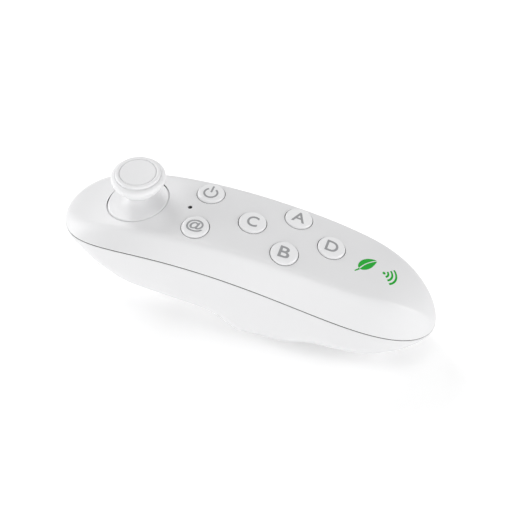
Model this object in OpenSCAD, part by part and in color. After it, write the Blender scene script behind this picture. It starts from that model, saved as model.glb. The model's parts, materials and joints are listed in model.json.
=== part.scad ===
// One-hand motion controller: a boat-shaped two-part case with a thumb stick, six round keys,
// two index triggers, a battery compartment with a lift-off door, and the parts inside.
// Frame: X along the body (stick end at -X), Y across, Z up, resting on z = 0. Millimetres.

/* [Body] */
// Length of the case
body_length = 136; // [112:0.5:164]
// Width of the case
body_width = 40; // [33:0.5:48]
// Height of the parting line above the rest plane, at mid length
parting_height = 31.1; // [28:0.1:36]
// Height of the upper shell above the parting line, where it is tallest
crown_height = 13.9; // [11.5:0.1:16.8]
// Fall of the top face towards its edges, as a share of the crown height
crown_fall = 0.153; // [0.05:0.01:0.3]
// Steepness of the side band
band_steepness = 3.55; // [2.5:0.05:5]
// Softness of the shoulder between top face and side band
shoulder_blend = 0.2; // [0.05:0.01:0.4]
// Power of the rounded cross-section of the lower shell
belly_power = 4.2; // [2.5:0.1:6]
// Wall thickness of both shells
wall = 1.9; // [1.5:0.1:2.6]
// Gap between the two shells along the parting line
seam_gap = 0.3; // [0.2:0.05:0.6]

/* [Keys] */
// Diameter of a round key
key_diameter = 9.7; // [8:0.1:11.7]
// How far a key stands above the case
key_proud = 1.0; // [0.6:0.1:1.6]
// Clearance round a key, on the radius
key_clearance = 0.25; // [0.2:0.05:0.6]
// Travel of a key
key_travel = 0.7; // [0.4:0.1:1]
// Distance of the first pair of keys behind the stick end of mid length
key_pair1_x = -17.0; // [-20:0.1:-14]
// Half the spacing of the first pair
key_pair1_y = 8.5; // [7:0.1:10]
// Position of the single middle key
key_mid_x = 1.0; // [-2:0.1:3]
// Position of the second pair
key_pair2_x = 15.1; // [12:0.1:18]
// Half the spacing of the second pair
key_pair2_y = 8.7; // [7:0.1:10]
// Position of the last key
key_last_x = 29.2; // [26:0.1:32]
// Sideways offset of the last key
key_last_y = 0.9; // [-1:0.1:2]
// Diameter of the indicator window
led_diameter = 1.6; // [1.2:0.1:2.4]

/* [Thumb stick] */
// Centre of the stick opening, along the body
stick_x = -41.1; // [-44:0.1:-39]
// Diameter of the skirt at the opening
skirt_diameter = 21.4; // [17.8:0.1:25.7]
// Depth of the tilt centre under the opening
pivot_depth = 7.0; // [6:0.1:7.6]
// Lean of the opening towards the front end, degrees
opening_lean = 8.5; // [4:0.5:12]
// Diameter of the cap
cap_diameter = 19.2; // [16:0.1:23.1]
// Height of the cap's top above the opening
cap_height = 13.7; // [11.4:0.1:16.4]
// Lean of the stick towards the front end at rest, degrees
stick_lean = 1.5; // [0:0.5:4]
// Clearance between the skirt and the case
skirt_clearance = 0.35; // [0.25:0.05:0.6]

/* [Triggers] */
// Half width of the triggers
trigger_half = 10; // [8.4:0.1:11]
// Front edge of the upper trigger
trigger_front_x = -62; // [-63:0.1:-61]
// Where the two triggers meet
trigger_split_x = -53.4; // [-54:0.1:-52.5]
// Rear edge of the lower trigger
trigger_rear_x = -43.9; // [-45:0.1:-43]
// Gap between the two triggers
trigger_split_gap = 0.9; // [0.7:0.05:1.4]
// Gap round the triggers
trigger_gap = 0.4; // [0.3:0.05:0.7]
// Skin thickness of the triggers
trigger_skin = 2.0; // [1.5:0.1:2.6]

/* [Battery bay] */
// Diameter of a cell
cell_diameter = 10.5; // [9.8:0.1:10.5]
// Length of a cell
cell_length = 44.5; // [43:0.1:44.5]
// Height of the cell axes
cell_z = 12.2; // [11.5:0.1:13.5]
// Front edge of the door
door_x0 = -3; // [-5:0.1:-2]
// Rear edge of the door
door_x1 = 49; // [48:0.1:52]
// Half width of the door
door_half = 12.4; // [11.8:0.1:14]
// Gap round the door
door_gap = 0.25; // [0.15:0.05:0.5]
// Skin thickness of the door
door_skin = 1.8; // [1.4:0.1:2.4]

/* [Boards] */
// Top face of the main board
board_z = 29.4; // [28.5:0.1:30]
// Thickness of the main board
board_thick = 1.2; // [0.8:0.1:1.6]
// Half width of the main board
board_half = 11.5; // [10.5:0.1:12.5]
// Front edge of the main board
board_x0 = -52.6; // [-53:0.1:-50]
// Rear edge of the main board
board_x1 = 40; // [38:0.1:42]

/* [Hidden] */
HL = body_length / 2;
HW = body_width / 2;
EPS = 0.01;
NX = 48;
NY = 24;
REST_CUT = 0.25;
KR = key_diameter / 2;
KHOLE = KR + key_clearance;
FLANGE_R = KR + 1.0;
SWITCH_H = 3.0;
LED_X = -21.8;
LED_Y = 0;
CELL_X0 = -0.4;
CELL_PITCH = cell_diameter + 0.5;
TRAY_Z = cell_z + cell_diameter / 2 + 0.5;
TRAY_X0 = -1.9;
TRAY_X1 = 47.4;
TRAY_HALF = cell_diameter + 1.15;
CASE_SCREWS = [[-28, 14.4, 20.5], [-28, -14.4, 20.5], [57, 6.5, 11.2], [57, -6.5, 11.2]];
BOARD_SCREWS = [[-7.6, 8.9], [-7.6, -8.9], [36, 8], [36, -8]];
TRAY_POSTS = [[-6.5, 7], [-6.5, -7], [52.2, 0]];
// plan outline, parting line, crown and belly line, as functions of the place along the body
function part_z(x) = let (u = x / HL) parting_height - 11.5 * u - 10.3 * u * u + 2.4 * u * u * u;
function end_share(s, n) = pow(max(0, 1 - pow(min(1, max(0, s)), n)), 0.5);
function half_w(x) = let (u = x / HL, c = -0.022)
  HW * end_share(u < c ? (c - u) / (c + 1) : (u - c) / (1 - c), u < c ? 7 : 4.2);
function crown(x) = let (u = x / HL, c = 0.653)
  crown_height * end_share(u < c ? (c - u) / (c + 1) : (u - c) / (1 - c), u < c ? 1.1 : 2.7);
BELLY_U = [-1, -0.912, -0.853, -0.735, -0.588, -0.368, -0.147, -0.04, 0.02, 0.215, 0.33, 0.42, 0.647,
  0.82, 0.94, 1];
BELLY_Z = [part_z(-HL), 28.8, 26.4, 19.3, 13.2, 10.4, 7.6, 2.6, -REST_CUT, -REST_CUT, 2.0, 3.7, 3.4, 6.4,
  10.0, part_z(HL)];
KN = len(BELLY_U);
function seg_slope(i) = (BELLY_Z[i + 1] - BELLY_Z[i]) / (BELLY_U[i + 1] - BELLY_U[i]);
function seg_len(i) = BELLY_U[i + 1] - BELLY_U[i];
function knot_slope(i) = i == 0 ? seg_slope(0) : i == KN - 1 ? seg_slope(KN - 2) :
  let (a = seg_slope(i - 1), b = seg_slope(i), p = 2 * seg_len(i) + seg_len(i - 1),
  q = seg_len(i) + 2 * seg_len(i - 1)) a * b <= 0 ? 0 : (p + q) / (p / a + q / b);
KNOT_M = [for (i = [0:KN - 1]) knot_slope(i)];
function belly_z(x) = let (u = min(1, max(-1, x / HL)),
  k = min(KN - 2, max([for (i = [0:KN - 2]) u >= BELLY_U[i] ? i : 0])),
  l = seg_len(k), t = (u - BELLY_U[k]) / l)
  (2 * t * t * t - 3 * t * t + 1) * BELLY_Z[k] + (t * t * t - 2 * t * t + t) * l * KNOT_M[k]
  + (3 * t * t - 2 * t * t * t) * BELLY_Z[k + 1] + (t * t * t - t * t) * l * KNOT_M[k + 1];
function blend(a, b, k) = let (h = min(1, max(0, 0.5 + 0.5 * (b - a) / k)))
  b * (1 - h) + a * h - k * h * (1 - h);
// the shoulder softens towards both ends
function shoulder(x) = shoulder_blend + 0.9 * pow(max(0, abs(x / HL) - 0.55) / 0.45, 2);
function top_share(r, k) = blend(1 - crown_fall * r * r, band_steepness * (1 - r), k);
function belly_share(r) = pow(max(0, 1 - pow(min(1, r), belly_power)), 1 / belly_power);
function top_z(x, y) = part_z(x) + crown(x) * top_share(min(1, abs(y) / half_w(x)), shoulder(x));
function low_z(x, y) = max(0, part_z(x)
  - (part_z(x) - belly_z(x)) * belly_share(abs(y) / half_w(x)));
function slope_x(x, y) = (top_z(x + 0.2, y) - top_z(x - 0.2, y)) / 0.4;
function slope_y(x, y) = (top_z(x, y + 0.2) - top_z(x, y - 0.2)) / 0.4;
// highest safe top and lowest safe foot of a round post of radius r
function post_top(x, y, r) = min([for (a = [0:30:330]) top_z(x + r * cos(a), y + r * sin(a))]) - 1.0;
function post_foot(x, y, r) = max([for (a = [0:30:330]) low_z(x + r * cos(a), y + r * sin(a))]) + 0.8;
// stations crowd towards the ends
function station(i) = -HL * (0.65 * cos(180 * i / NX) + 0.35 * (1 - 2 * i / NX));
function across(j) = sin(90 * (2 * j / NY - 1));
function skin_pts(up, t, g) = [for (i = [0:NX]) for (j = [0:NY])
  let (xo = station(i), x = xo * (t > 0 ? (HL - 2 * t) / HL : 1), r = across(j),
  w = half_w(xo) * (HW - t) / HW, z0 = part_z(x) + (up ? g : -g),
  d = up ? max(0.1, crown(xo) - t) * top_share(abs(r), shoulder(xo))
    : -max(0.1, part_z(xo) - max(belly_z(xo), 0) - t) * belly_share(abs(r)))
  [x, w * r, i == 0 || i == NX ? z0 : z0 + d]];
function vid(s, i, j) = s * (NX + 1) * (NY + 1) + i * (NY + 1) + (i == 0 || i == NX ? 0 : j);
function turn(f, k) = k ? [f[2], f[1], f[0]] : f;
function quad(a, b, c, d, k) = [turn([a, b, c], k), turn([a, c, d], k)];
function skin_faces(s, k) = [for (i = [0:NX - 1]) for (j = [0:NY - 1])
  for (f = quad(vid(s, i, j), vid(s, i, j + 1), vid(s, i + 1, j + 1), vid(s, i + 1, j), k))
  if (f[0] != f[1] && f[1] != f[2] && f[0] != f[2]) f];
function rim_faces(k) = [for (i = [0:NX - 1]) for (e = [0, 1])
  for (f = quad(vid(0, i, e * NY), vid(0, i + 1, e * NY), vid(1, i + 1, e * NY), vid(1, i, e * NY),
  e == 0 ? k : !k)) if (f[0] != f[1] && f[1] != f[2] && f[0] != f[2]) f];

module shell_skin(up) {
  polyhedron(
    points = concat(skin_pts(up, 0, seam_gap / 2), skin_pts(up, wall, seam_gap / 2)),
    faces = concat(skin_faces(0, !up), skin_faces(1, up), rim_faces(!up)),
    convexity = 6);
}

// a patch of the belly between two stations, with straight sides
function pid(s, i, j, nx, ny) = s * (nx + 1) * (ny + 1) + i * (ny + 1) + j;
module belly_patch(x0, x1, yh, t, nx, ny) {
  pts = [for (s = [0, 1]) for (i = [0:nx]) for (j = [0:ny])
    let (x = x0 + (x1 - x0) * i / nx, y = yh * (2 * j / ny - 1))
    [x, y, low_z(x, y) + s * t]];
  caps = [for (s = [0, 1]) for (i = [0:nx - 1]) for (j = [0:ny - 1])
    for (f = quad(pid(s, i, j, nx, ny), pid(s, i, j + 1, nx, ny), pid(s, i + 1, j + 1, nx, ny),
      pid(s, i + 1, j, nx, ny), s == 0)) f];
  sides = [for (i = [0:nx - 1]) for (e = [0, 1])
    for (f = quad(pid(0, i, e * ny, nx, ny), pid(1, i, e * ny, nx, ny),
      pid(1, i + 1, e * ny, nx, ny), pid(0, i + 1, e * ny, nx, ny), e == 1)) f];
  ends = [for (j = [0:ny - 1]) for (e = [0, 1])
    for (f = quad(pid(1, e * nx, j, nx, ny), pid(1, e * nx, j + 1, nx, ny),
      pid(0, e * nx, j + 1, nx, ny), pid(0, e * nx, j, nx, ny), e == 0)) f];
  polyhedron(points = pts, faces = concat(caps, sides, ends), convexity = 4);
}

// places children on the top face, turned to its normal
module on_top(x, y) {
  sx = slope_x(x, y);
  sy = slope_y(x, y);
  translate([x, y, top_z(x, y)])
    rotate([-atan(-sy), 0, 0])
      rotate([0, -atan(sx * cos(atan(sy))), 0])
        children();
}

module ycyl(r, l) {
  rotate([90, 0, 0]) cylinder(r = r, h = l, center = true, $fn = 48);
}

module xcyl(r, l) {
  rotate([0, 90, 0]) cylinder(r = r, h = l, center = true, $fn = 48);
}

KEY_XY = [[key_pair1_x, key_pair1_y], [key_pair1_x, -key_pair1_y], [key_mid_x, 0],
  [key_pair2_x, key_pair2_y], [key_pair2_x, -key_pair2_y], [key_last_x, key_last_y]];

OPEN_Z = top_z(stick_x, 0);
PIVOT = [stick_x + pivot_depth * sin(opening_lean), 0, OPEN_Z - pivot_depth * cos(opening_lean)];
SKIRT_R = skirt_diameter / 2;
BALL_R = sqrt(SKIRT_R * SKIRT_R + pivot_depth * pivot_depth);
SOCKET_R = BALL_R + skirt_clearance;
UPPER_HINGE = [-57.5, 0, 31.0];
LOWER_HINGE = [-45.6, 0, low_z(-45.6, 0) + 4.2];
PIN_R = 1.0;
PIN_CLEARANCE = 0.06;

module upper_shell() {
  color("white") difference() {
    union() {
      shell_skin(true);
      for (s = CASE_SCREWS)
        translate([s[0], s[1], part_z(s[0]) + 0.4])
          cylinder(r = 2.9, h = post_top(s[0], s[1], 2.9) - part_z(s[0]) - 0.4, $fn = 48);
      for (s = BOARD_SCREWS)
        translate([s[0], s[1], board_z])
          cylinder(r = 2.1, h = post_top(s[0], s[1], 2.1) - board_z, $fn = 48);
    }
    for (k = KEY_XY)
      on_top(k[0], k[1]) cylinder(r = KHOLE, h = 8, center = true, $fn = 64);
    on_top(LED_X, LED_Y) cylinder(d = led_diameter, h = 8, center = true, $fn = 32);
    translate(PIVOT) sphere(r = SOCKET_R, $fn = 96);
    for (s = CASE_SCREWS)
      translate([s[0], s[1], part_z(s[0]) - 2]) cylinder(r = 1.23, h = 6.2, $fn = 32);
    for (s = BOARD_SCREWS)
      translate([s[0], s[1], board_z - 2]) cylinder(r = 0.83, h = 5.6, $fn = 32);
  }
}

module trigger_rib(side) {
  xs = [-59.8, -58.6, -57.4, -56, -54, -52, -50, -48, -46, -44, -42.6];
  lower = [for (x = xs) [x, low_z(x, trigger_half + 1.6) + 0.9]];
  upper = [[-42.6, 22], [-47, 24], [-50.5, 27.5], [-53.2, 27.7], [-55.2, 32.5], [-57.6, 32.5], [-59.8, 31.5]];
  translate([0, side * (trigger_half + 1.2) + 0.6, 0])
    rotate([90, 0, 0])
      linear_extrude(height = 1.2) polygon(concat(lower, upper));
}

module lower_shell() {
  color("white") difference() {
    union() {
      shell_skin(false);
      for (s = CASE_SCREWS)
        translate([s[0], s[1], post_foot(s[0], s[1], 2.9)])
          cylinder(r = 2.9, h = part_z(s[0]) - 0.1 - post_foot(s[0], s[1], 2.9), $fn = 48);
      for (s = TRAY_POSTS)
        translate([s[0], s[1], post_foot(s[0], s[1], 2.3)])
          cylinder(r = 2.3, h = TRAY_Z - post_foot(s[0], s[1], 2.3), $fn = 48);
      trigger_rib(1);
      trigger_rib(-1);
    }
    for (s = CASE_SCREWS) {
      translate([s[0], s[1], -1]) cylinder(r = 1.4, h = 60, $fn = 32);
      translate([s[0], s[1], -1]) cylinder(r = 2.7, h = s[2] + 1, $fn = 48);
    }
    for (s = TRAY_POSTS)
      translate([s[0], s[1], TRAY_Z - 5]) cylinder(r = 0.83, h = 6, $fn = 32);
    translate([door_x0 - door_gap, -door_half - door_gap, -1])
      cube([door_x1 - door_x0 + 2 * door_gap, 2 * (door_half + door_gap), 16]);
    translate([trigger_front_x - trigger_gap, -trigger_half - trigger_gap, 5])
      cube([trigger_rear_x - trigger_front_x + 2 * trigger_gap, 2 * (trigger_half + trigger_gap), 40]);
    for (h = [UPPER_HINGE, LOWER_HINGE])
      translate(h) ycyl(PIN_R + 0.01, 2 * trigger_half + 6);
  }
}

module battery_door() {
  color("white") union() {
    belly_patch(door_x0, door_x1, door_half, door_skin, 26, 14);
    // latch tongue at the front edge, hooks over the tray's front wall
    translate([door_x0 + 0.2, -3, low_z(door_x0, 3) + 0.8]) cube([0.7, 6, 4.4]);
    for (y = [-5.4, 5.4])
      translate([24, y - 0.6, low_z(24, 0) + 1]) cube([8, 1.2, cell_z - cell_diameter / 2 - low_z(24, 0) - 1.3]);
  }
}

// a round key, z = 0 on the case's face
module key(proud) {
  rotate_extrude($fn = 72) polygon([[0, proud], [KR * 0.55, proud - 0.03], [KR - 0.75, proud - 0.12],
    [KR - 0.35, proud - 0.28], [KR - 0.1, proud - 0.55], [KR, proud - 0.9], [KR, -wall - key_travel - 0.9],
    [0, -wall - key_travel - 0.9]]);
}

module key_at(i) {
  on_top(KEY_XY[i][0], KEY_XY[i][1]) key(key_proud);
  // the flange is cut flat where it would meet the shoulder
  intersection() {
    on_top(KEY_XY[i][0], KEY_XY[i][1])
      translate([0, 0, -wall - key_travel - 0.9]) cylinder(r = FLANGE_R, h = 0.8, $fn = 72);
    translate([-HL, -0.645 * HW, 0]) cube([2 * HL, 1.29 * HW, 80]);
  }
}

// a post from a key's flange down to just above its switch
module plunger_at(i) {
  x = KEY_XY[i][0];
  y = KEY_XY[i][1];
  drop = top_z(x, y) - board_z - SWITCH_H;
  top = wall + key_travel + 0.9;
  l = drop / cos(atan(sqrt(pow(slope_x(x, y), 2) + pow(slope_y(x, y), 2)))) - top - key_travel - 0.45;
  on_top(x, y) translate([0, 0, -top - l]) cylinder(r = 1.6, h = l, $fn = 40);
}

// where a key's axis meets its switch
function foot(i) = let (x = KEY_XY[i][0], y = KEY_XY[i][1], d = top_z(x, y) - board_z - SWITCH_H)
  [x + slope_x(x, y) * d, y + slope_y(x, y) * d];

module key_power() { color("white") key_at(0); }
module key_at_sign() { color("white") key_at(1); }
module key_c() { color("white") key_at(2); }
module key_a() { color("white") key_at(3); }
module key_b() { color("white") key_at(4); }
module key_d() { color("white") key_at(5); }
module plunger_power() { color("silver") plunger_at(0); }
module plunger_at_sign() { color("silver") plunger_at(1); }
module plunger_c() { color("silver") plunger_at(2); }
module plunger_a() { color("silver") plunger_at(3); }
module plunger_b() { color("silver") plunger_at(4); }
module plunger_d() { color("silver") plunger_at(5); }

module tact_switches() {
  color("dimgray") for (i = [0:5]) {
    translate([foot(i)[0] - 3, foot(i)[1] - 3, board_z]) cube([6, 6, SWITCH_H - 0.9]);
    translate([foot(i)[0], foot(i)[1], board_z + SWITCH_H - 1.2]) cylinder(r = 1.7, h = 1.2, $fn = 40);
  }
}

module led_lens() {
  color([0.15, 0.15, 0.16]) on_top(LED_X, LED_Y) {
    translate([0, 0, -4.6]) cylinder(d = led_diameter - 0.1, h = 4.3, $fn = 32);
    translate([0, 0, -4.6]) cylinder(r = 1.5, h = 2.2, $fn = 32);
  }
}

module led_chip() {
  color("ivory") translate([LED_X - 1.6, LED_Y - 0.8, board_z]) cube([3.2, 1.6, 1.1]);
}

module main_board() {
  color("darkgreen") difference() {
    translate([board_x0, -board_half, board_z - board_thick])
      cube([board_x1 - board_x0, 2 * board_half, board_thick]);
    for (s = CASE_SCREWS)
      translate([s[0], s[1], board_z - 3]) cylinder(r = 3.4, h = 6, $fn = 40);
    for (s = BOARD_SCREWS)
      translate([s[0], s[1], board_z - 3]) cylinder(r = 1.0, h = 6, $fn = 32);
  }
}

module radio_chip() {
  color("black") translate([-31.5, -3, board_z]) cube([6, 6, 0.9]);
}

module crystal() {
  color("silver") translate([-31, 5.5, board_z]) cube([3.2, 2.5, 0.8]);
}

module capacitors() {
  color("tan") for (p = [[-27, 5], [-27, 8], [-24, -5], [6.5, 3.6], [6.5, -4.4], [23, 4.6], [23, -5.6]])
    translate([p[0], p[1], board_z]) cube([2, 1.25, 0.8]);
}

SHAFT_R = 1.95;
FLARE_RISE = 2.4;
NECK_R = 3.4;
module skirt_profile() {
  // outside: ball wall up to the rim, then the flared top face up to the neck
  a0 = asin((pivot_depth - 3.9) / BALL_R);
  a1 = asin(pivot_depth / BALL_R);
  outer = [for (i = [0:8]) let (a = a0 + (a1 - a0) * i / 8) [BALL_R * cos(a), BALL_R * sin(a)]];
  flare = [for (i = [0:10]) let (t = i / 10, r = SKIRT_R - 0.55 - (SKIRT_R - 0.55 - NECK_R) * t)
    [r, pivot_depth + 0.12 + FLARE_RISE * pow(t, 2.4)]];
  under = [for (i = [10:-1:1]) let (t = i / 10, r = SKIRT_R - 0.55 - (SKIRT_R - 0.55 - NECK_R) * t)
    [r, pivot_depth + 0.12 + FLARE_RISE * pow(t, 2.4) - 1.2]];
  inner = [[BALL_R * cos(a1) - 1.6, pivot_depth - 1.5], [BALL_R * cos(a0) - 1.3, BALL_R * sin(a0)]];
  polygon(concat(outer, flare, [[0, pivot_depth + 0.12 + FLARE_RISE], [0, pivot_depth + FLARE_RISE - 1.08]], under,
    inner));
}

module stick_skirt() {
  color("white") translate(PIVOT) difference() {
    rotate([0, -opening_lean, 0]) rotate_extrude($fn = 96) skirt_profile();
    rotate([0, -stick_lean, 0]) cylinder(r = SHAFT_R + 0.05, h = 30, $fn = 48);
  }
}

CAP_Z = OPEN_Z - PIVOT[2] + cap_height;
CAP_R = cap_diameter / 2;
// the cap's neck ends just clear of the skirt, which leans more than the stick
NECK_Z = pivot_depth + 0.2 + FLARE_RISE + NECK_R * sin(abs(opening_lean - stick_lean));

module stick_cap() {
  color("white") translate(PIVOT) rotate([0, -stick_lean, 0]) rotate_extrude($fn = 96)
    polygon([[2.0, NECK_Z], [NECK_R - 0.2, NECK_Z], [NECK_R - 0.2, CAP_Z - 9.6], [4.3, CAP_Z - 9.2], [5.3, CAP_Z - 8.6], [6.0, CAP_Z - 8.1],
      [CAP_R - 3.0, CAP_Z - 7.4], [CAP_R - 2.0, CAP_Z - 6.3], [CAP_R - 1.1, CAP_Z - 5.1], [CAP_R - 0.5, CAP_Z - 4.1],
      [CAP_R - 0.12, CAP_Z - 3.1], [CAP_R, CAP_Z - 2.3], [CAP_R - 0.1, CAP_Z - 1.7], [CAP_R - 0.45, CAP_Z - 1.1],
      [CAP_R - 0.95, CAP_Z - 0.72], [8.1, CAP_Z - 0.6], [7.9, CAP_Z - 0.5], [7.8, CAP_Z - 0.2], [7.5, CAP_Z],
      [7.1, CAP_Z], [PAD_R + 0.1, CAP_Z - 0.12], [PAD_R + 0.1, CAP_Z - 1.6], [2.0, CAP_Z - 1.6]]);
}

PAD_R = 6.4;
module stick_pad() {
  color("gainsboro") translate(PIVOT) rotate([0, -stick_lean, 0]) rotate_extrude($fn = 96)
    polygon([[0, CAP_Z - 1.6], [PAD_R, CAP_Z - 1.6], [PAD_R, CAP_Z - 0.2], [PAD_R - 0.2, CAP_Z - 0.12],
      [PAD_R - 0.8, CAP_Z - 0.2], [3, CAP_Z - 0.42], [0, CAP_Z - 0.5]]);
}

module stick_shaft() {
  color("silver") translate(PIVOT) union() {
    rotate([0, -stick_lean, 0]) {
      translate([0, 0, -2]) cylinder(r = 1.2, h = 7.8, $fn = 40);
      translate([0, 0, 5.5]) cylinder(r = SHAFT_R, h = CAP_Z - 1.7 - 5.5, $fn = 40);
      translate([0, 0, -2]) sphere(r = 1.2, $fn = 40);
    }
    xcyl(0.7, 7.4);
  }
}

module gimbal_ring() {
  color("silver") translate(PIVOT) difference() {
    union() {
      translate([-3.7, -3.1, -1.1]) cube([7.4, 6.2, 2.2]);
      ycyl(0.8, 2 * HOUSE);
    }
    translate([-2.5, -2.1, -2]) cube([5, 4.2, 4]);
    xcyl(0.74, 10);
  }
}

module gimbal_arc() {
  color("silver") translate(PIVOT) union() {
    difference() {
      ycyl(4.9, 4.4);
      ycyl(4.2, 6);
      translate([-7, -4, -8]) cube([14, 8, 7]);
      translate([-2.7, -1.5, 2]) cube([5.4, 3, 6]);
    }
    for (s = [-1, 1]) translate([s * (HOUSE / 2 + 2.35), 0, 0]) xcyl(0.8, HOUSE - 4.7);
  }
}

HOUSE = 6.2;
HOUSE_TOP = 3.9;
module stick_housing() {
  b = board_z - PIVOT[2] + EPS;
  color("gray") translate(PIVOT) difference() {
    intersection() {
      translate([-HOUSE, -HOUSE, b]) cube([2 * HOUSE, 2 * HOUSE, HOUSE_TOP - b]);
      translate([0, 0, b - 1]) cylinder(r = 8.0, h = 20, $fn = 64);
    }
    translate([-HOUSE + 1, -HOUSE + 1, b + 0.8]) cube([2 * HOUSE - 2, 2 * HOUSE - 2, HOUSE_TOP - 0.8 - b - 0.8]);
    translate([-4.5, -3.7, 0]) cube([9, 7.4, 8]);
    xcyl(0.85, 20);
    ycyl(0.85, 20);
  }
}

module potentiometer_x() {
  color("tan") translate([PIVOT[0] + HOUSE, -4, board_z]) cube([2.2, 8, 6]);
}

module potentiometer_y() {
  color("tan") translate([PIVOT[0] - 4, HOUSE, board_z]) cube([8, 2.2, 6]);
}

module upper_trigger() {
  x1 = trigger_split_x - trigger_split_gap / 2;
  color("whitesmoke") difference() {
    union() {
      belly_patch(trigger_front_x, x1, trigger_half, trigger_skin, 10, 12);
      for (s = [-1, 1]) translate([UPPER_HINGE[0], s * 7.5, UPPER_HINGE[2]]) {
        ycyl(1.9, 3);
        translate([-1.9, -1.5, -3.4]) cube([3.8, 3, 3.4]);
      }
      translate([-55.8, 3, 25.0]) cube([5.8, 4, 1.0]);
    }
    translate(UPPER_HINGE) ycyl(PIN_R + PIN_CLEARANCE, 30);
  }
}

module lower_trigger() {
  x0 = trigger_split_x + trigger_split_gap / 2;
  color("whitesmoke") difference() {
    union() {
      belly_patch(x0, trigger_rear_x, trigger_half, trigger_skin, 10, 12);
      for (s = [-1, 1]) translate([LOWER_HINGE[0], s * 7.5, LOWER_HINGE[2]]) {
        ycyl(1.9, 3);
        translate([-1.9, -1.5, -2.5]) cube([3.8, 3, 2.5]);
      }
      translate([-49.5, -7, low_z(-49.5, 4) + 1.2]) cube([3, 3, 26.1 - low_z(-49.5, 4) - 1.2]);
    }
    translate(LOWER_HINGE) ycyl(PIN_R + PIN_CLEARANCE, 30);
  }
}

module upper_trigger_pin() {
  color("silver") translate(UPPER_HINGE) ycyl(PIN_R, 2 * trigger_half + 4.8);
}

module lower_trigger_pin() {
  color("silver") translate(LOWER_HINGE) ycyl(PIN_R, 2 * trigger_half + 4.8);
}

module trigger_switches() {
  z = board_z - board_thick;
  color("dimgray") for (p = [[-51, 5], [-48, -5.5]]) {
    translate([p[0] - 1.5, p[1] - 2, z - 1.1]) cube([3, 4, 1.1]);
    translate([p[0], p[1], z - 1.5]) cylinder(r = 0.8, h = 0.5, $fn = 24);
  }
}

module battery_tray() {
  color("ghostwhite") difference() {
    union() {
      translate([TRAY_X0, -TRAY_HALF, 6.6]) cube([TRAY_X1 - TRAY_X0, 2 * TRAY_HALF, TRAY_Z + 1.2 - 6.6]);
      translate([-9.2, -10, TRAY_Z]) cube([8, 20, 1.2]);
      translate([TRAY_X1 - 1, -4, TRAY_Z]) cube([8.2, 8, 1.2]);
    }
    translate([TRAY_X0 + 1, -TRAY_HALF + 0.8, 0])
      cube([TRAY_X1 - TRAY_X0 - 2, 2 * TRAY_HALF - 1.6, TRAY_Z]);
    for (s = TRAY_POSTS)
      translate([s[0], s[1], TRAY_Z - 1]) cylinder(r = 1.0, h = 4, $fn = 32);
  }
}

module cell(s, flip) {
  translate([CELL_X0, s * CELL_PITCH / 2, cell_z]) {
    translate([flip ? 0.8 : 0, 0, 0]) rotate([0, 90, 0]) cylinder(d = cell_diameter, h = cell_length - 0.8, $fn = 72);
    translate([flip ? 0 : cell_length - 0.81, 0, 0]) rotate([0, 90, 0]) cylinder(r = 1.9, h = 0.81, $fn = 40);
  }
}

module cell_near() { color("steelblue") cell(-1, false); }
module cell_far() { color("steelblue") cell(1, true); }

module contact_link() {
  color("silver") translate([TRAY_X0 + 1, -9, cell_z - 3]) cube([0.4, 18, 6]);
}

module contact_positive() {
  color("silver") union() {
    translate([TRAY_X1 - 1.4, -9.2, cell_z - 3]) cube([0.4, 7, 6]);
    translate([CELL_X0 + cell_length, -CELL_PITCH / 2, cell_z])
      rotate([0, 90, 0]) cylinder(r = 1.6, h = TRAY_X1 - 1.3 - CELL_X0 - cell_length, $fn = 32);
  }
}

module contact_negative() {
  g = TRAY_X1 - 1.4 - CELL_X0 - cell_length;
  color("silver") union() {
    translate([TRAY_X1 - 1.4, 2.2, cell_z - 3]) cube([0.4, 7, 6]);
    for (i = [0:2])
      translate([CELL_X0 + cell_length + 0.25 + i * (g - 0.3) / 2.4, CELL_PITCH / 2, cell_z])
        rotate([0, 90, 0]) rotate_extrude($fn = 40) translate([2.2 + 0.35 * i, 0]) circle(r = 0.24, $fn = 16);
    for (a = [0, 120, 240])
      translate([CELL_X0 + cell_length + 0.2, CELL_PITCH / 2, cell_z])
        rotate([a, 0, 0]) translate([0, 0, 2.5]) rotate([0, 90, 0]) cylinder(r = 0.24, h = g, $fn = 16);
  }
}

// a wire drawn through points
module wire(pts) {
  for (i = [0:len(pts) - 2]) {
    d = pts[i + 1] - pts[i];
    l = norm(d);
    translate(pts[i]) rotate([0, acos(d[2] / l), atan2(d[1], d[0])]) cylinder(r = 0.5, h = l, $fn = 48);
    translate(pts[i + 1]) sphere(r = 0.56, $fn = 48);
  }
}

module battery_wire(y, c) {
  color(c) wire([[TRAY_X1 + 0.65, y, cell_z], [TRAY_X1 + 0.65, y, TRAY_Z + 2.4], [42.5, y, TRAY_Z + 4],
    [40.6, y, board_z - board_thick - 2], [38.5, y, board_z - board_thick - 0.65]]);
}

module wire_red() { battery_wire(-6.6, "red"); }
module wire_black() { battery_wire(6.6, "black"); }

module case_screw(s) {
  translate([s[0], s[1], s[2]]) {
    translate([0, 0, -1.8]) cylinder(r = 2.4, h = 1.8, $fn = 40);
    translate([0, 0, -0.1]) cylinder(r = 1.2, h = part_z(s[0]) + 3.8 - s[2], $fn = 32);
  }
}

module case_screws() {
  color("silver") difference() {
    for (s = CASE_SCREWS) case_screw(s);
    for (s = CASE_SCREWS) translate([s[0], s[1], s[2] - 1.8]) {
      cube([2.8, 0.6, 1.6], center = true);
      cube([0.6, 2.8, 1.6], center = true);
    }
  }
}

module board_screws() {
  color("silver") for (s = BOARD_SCREWS) {
    translate([s[0], s[1], board_z - board_thick - 1.1]) cylinder(r = 1.6, h = 1.1, $fn = 32);
    translate([s[0], s[1], board_z - board_thick - 0.5]) cylinder(r = 0.8, h = 4.6, $fn = 32);
  }
}

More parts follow.
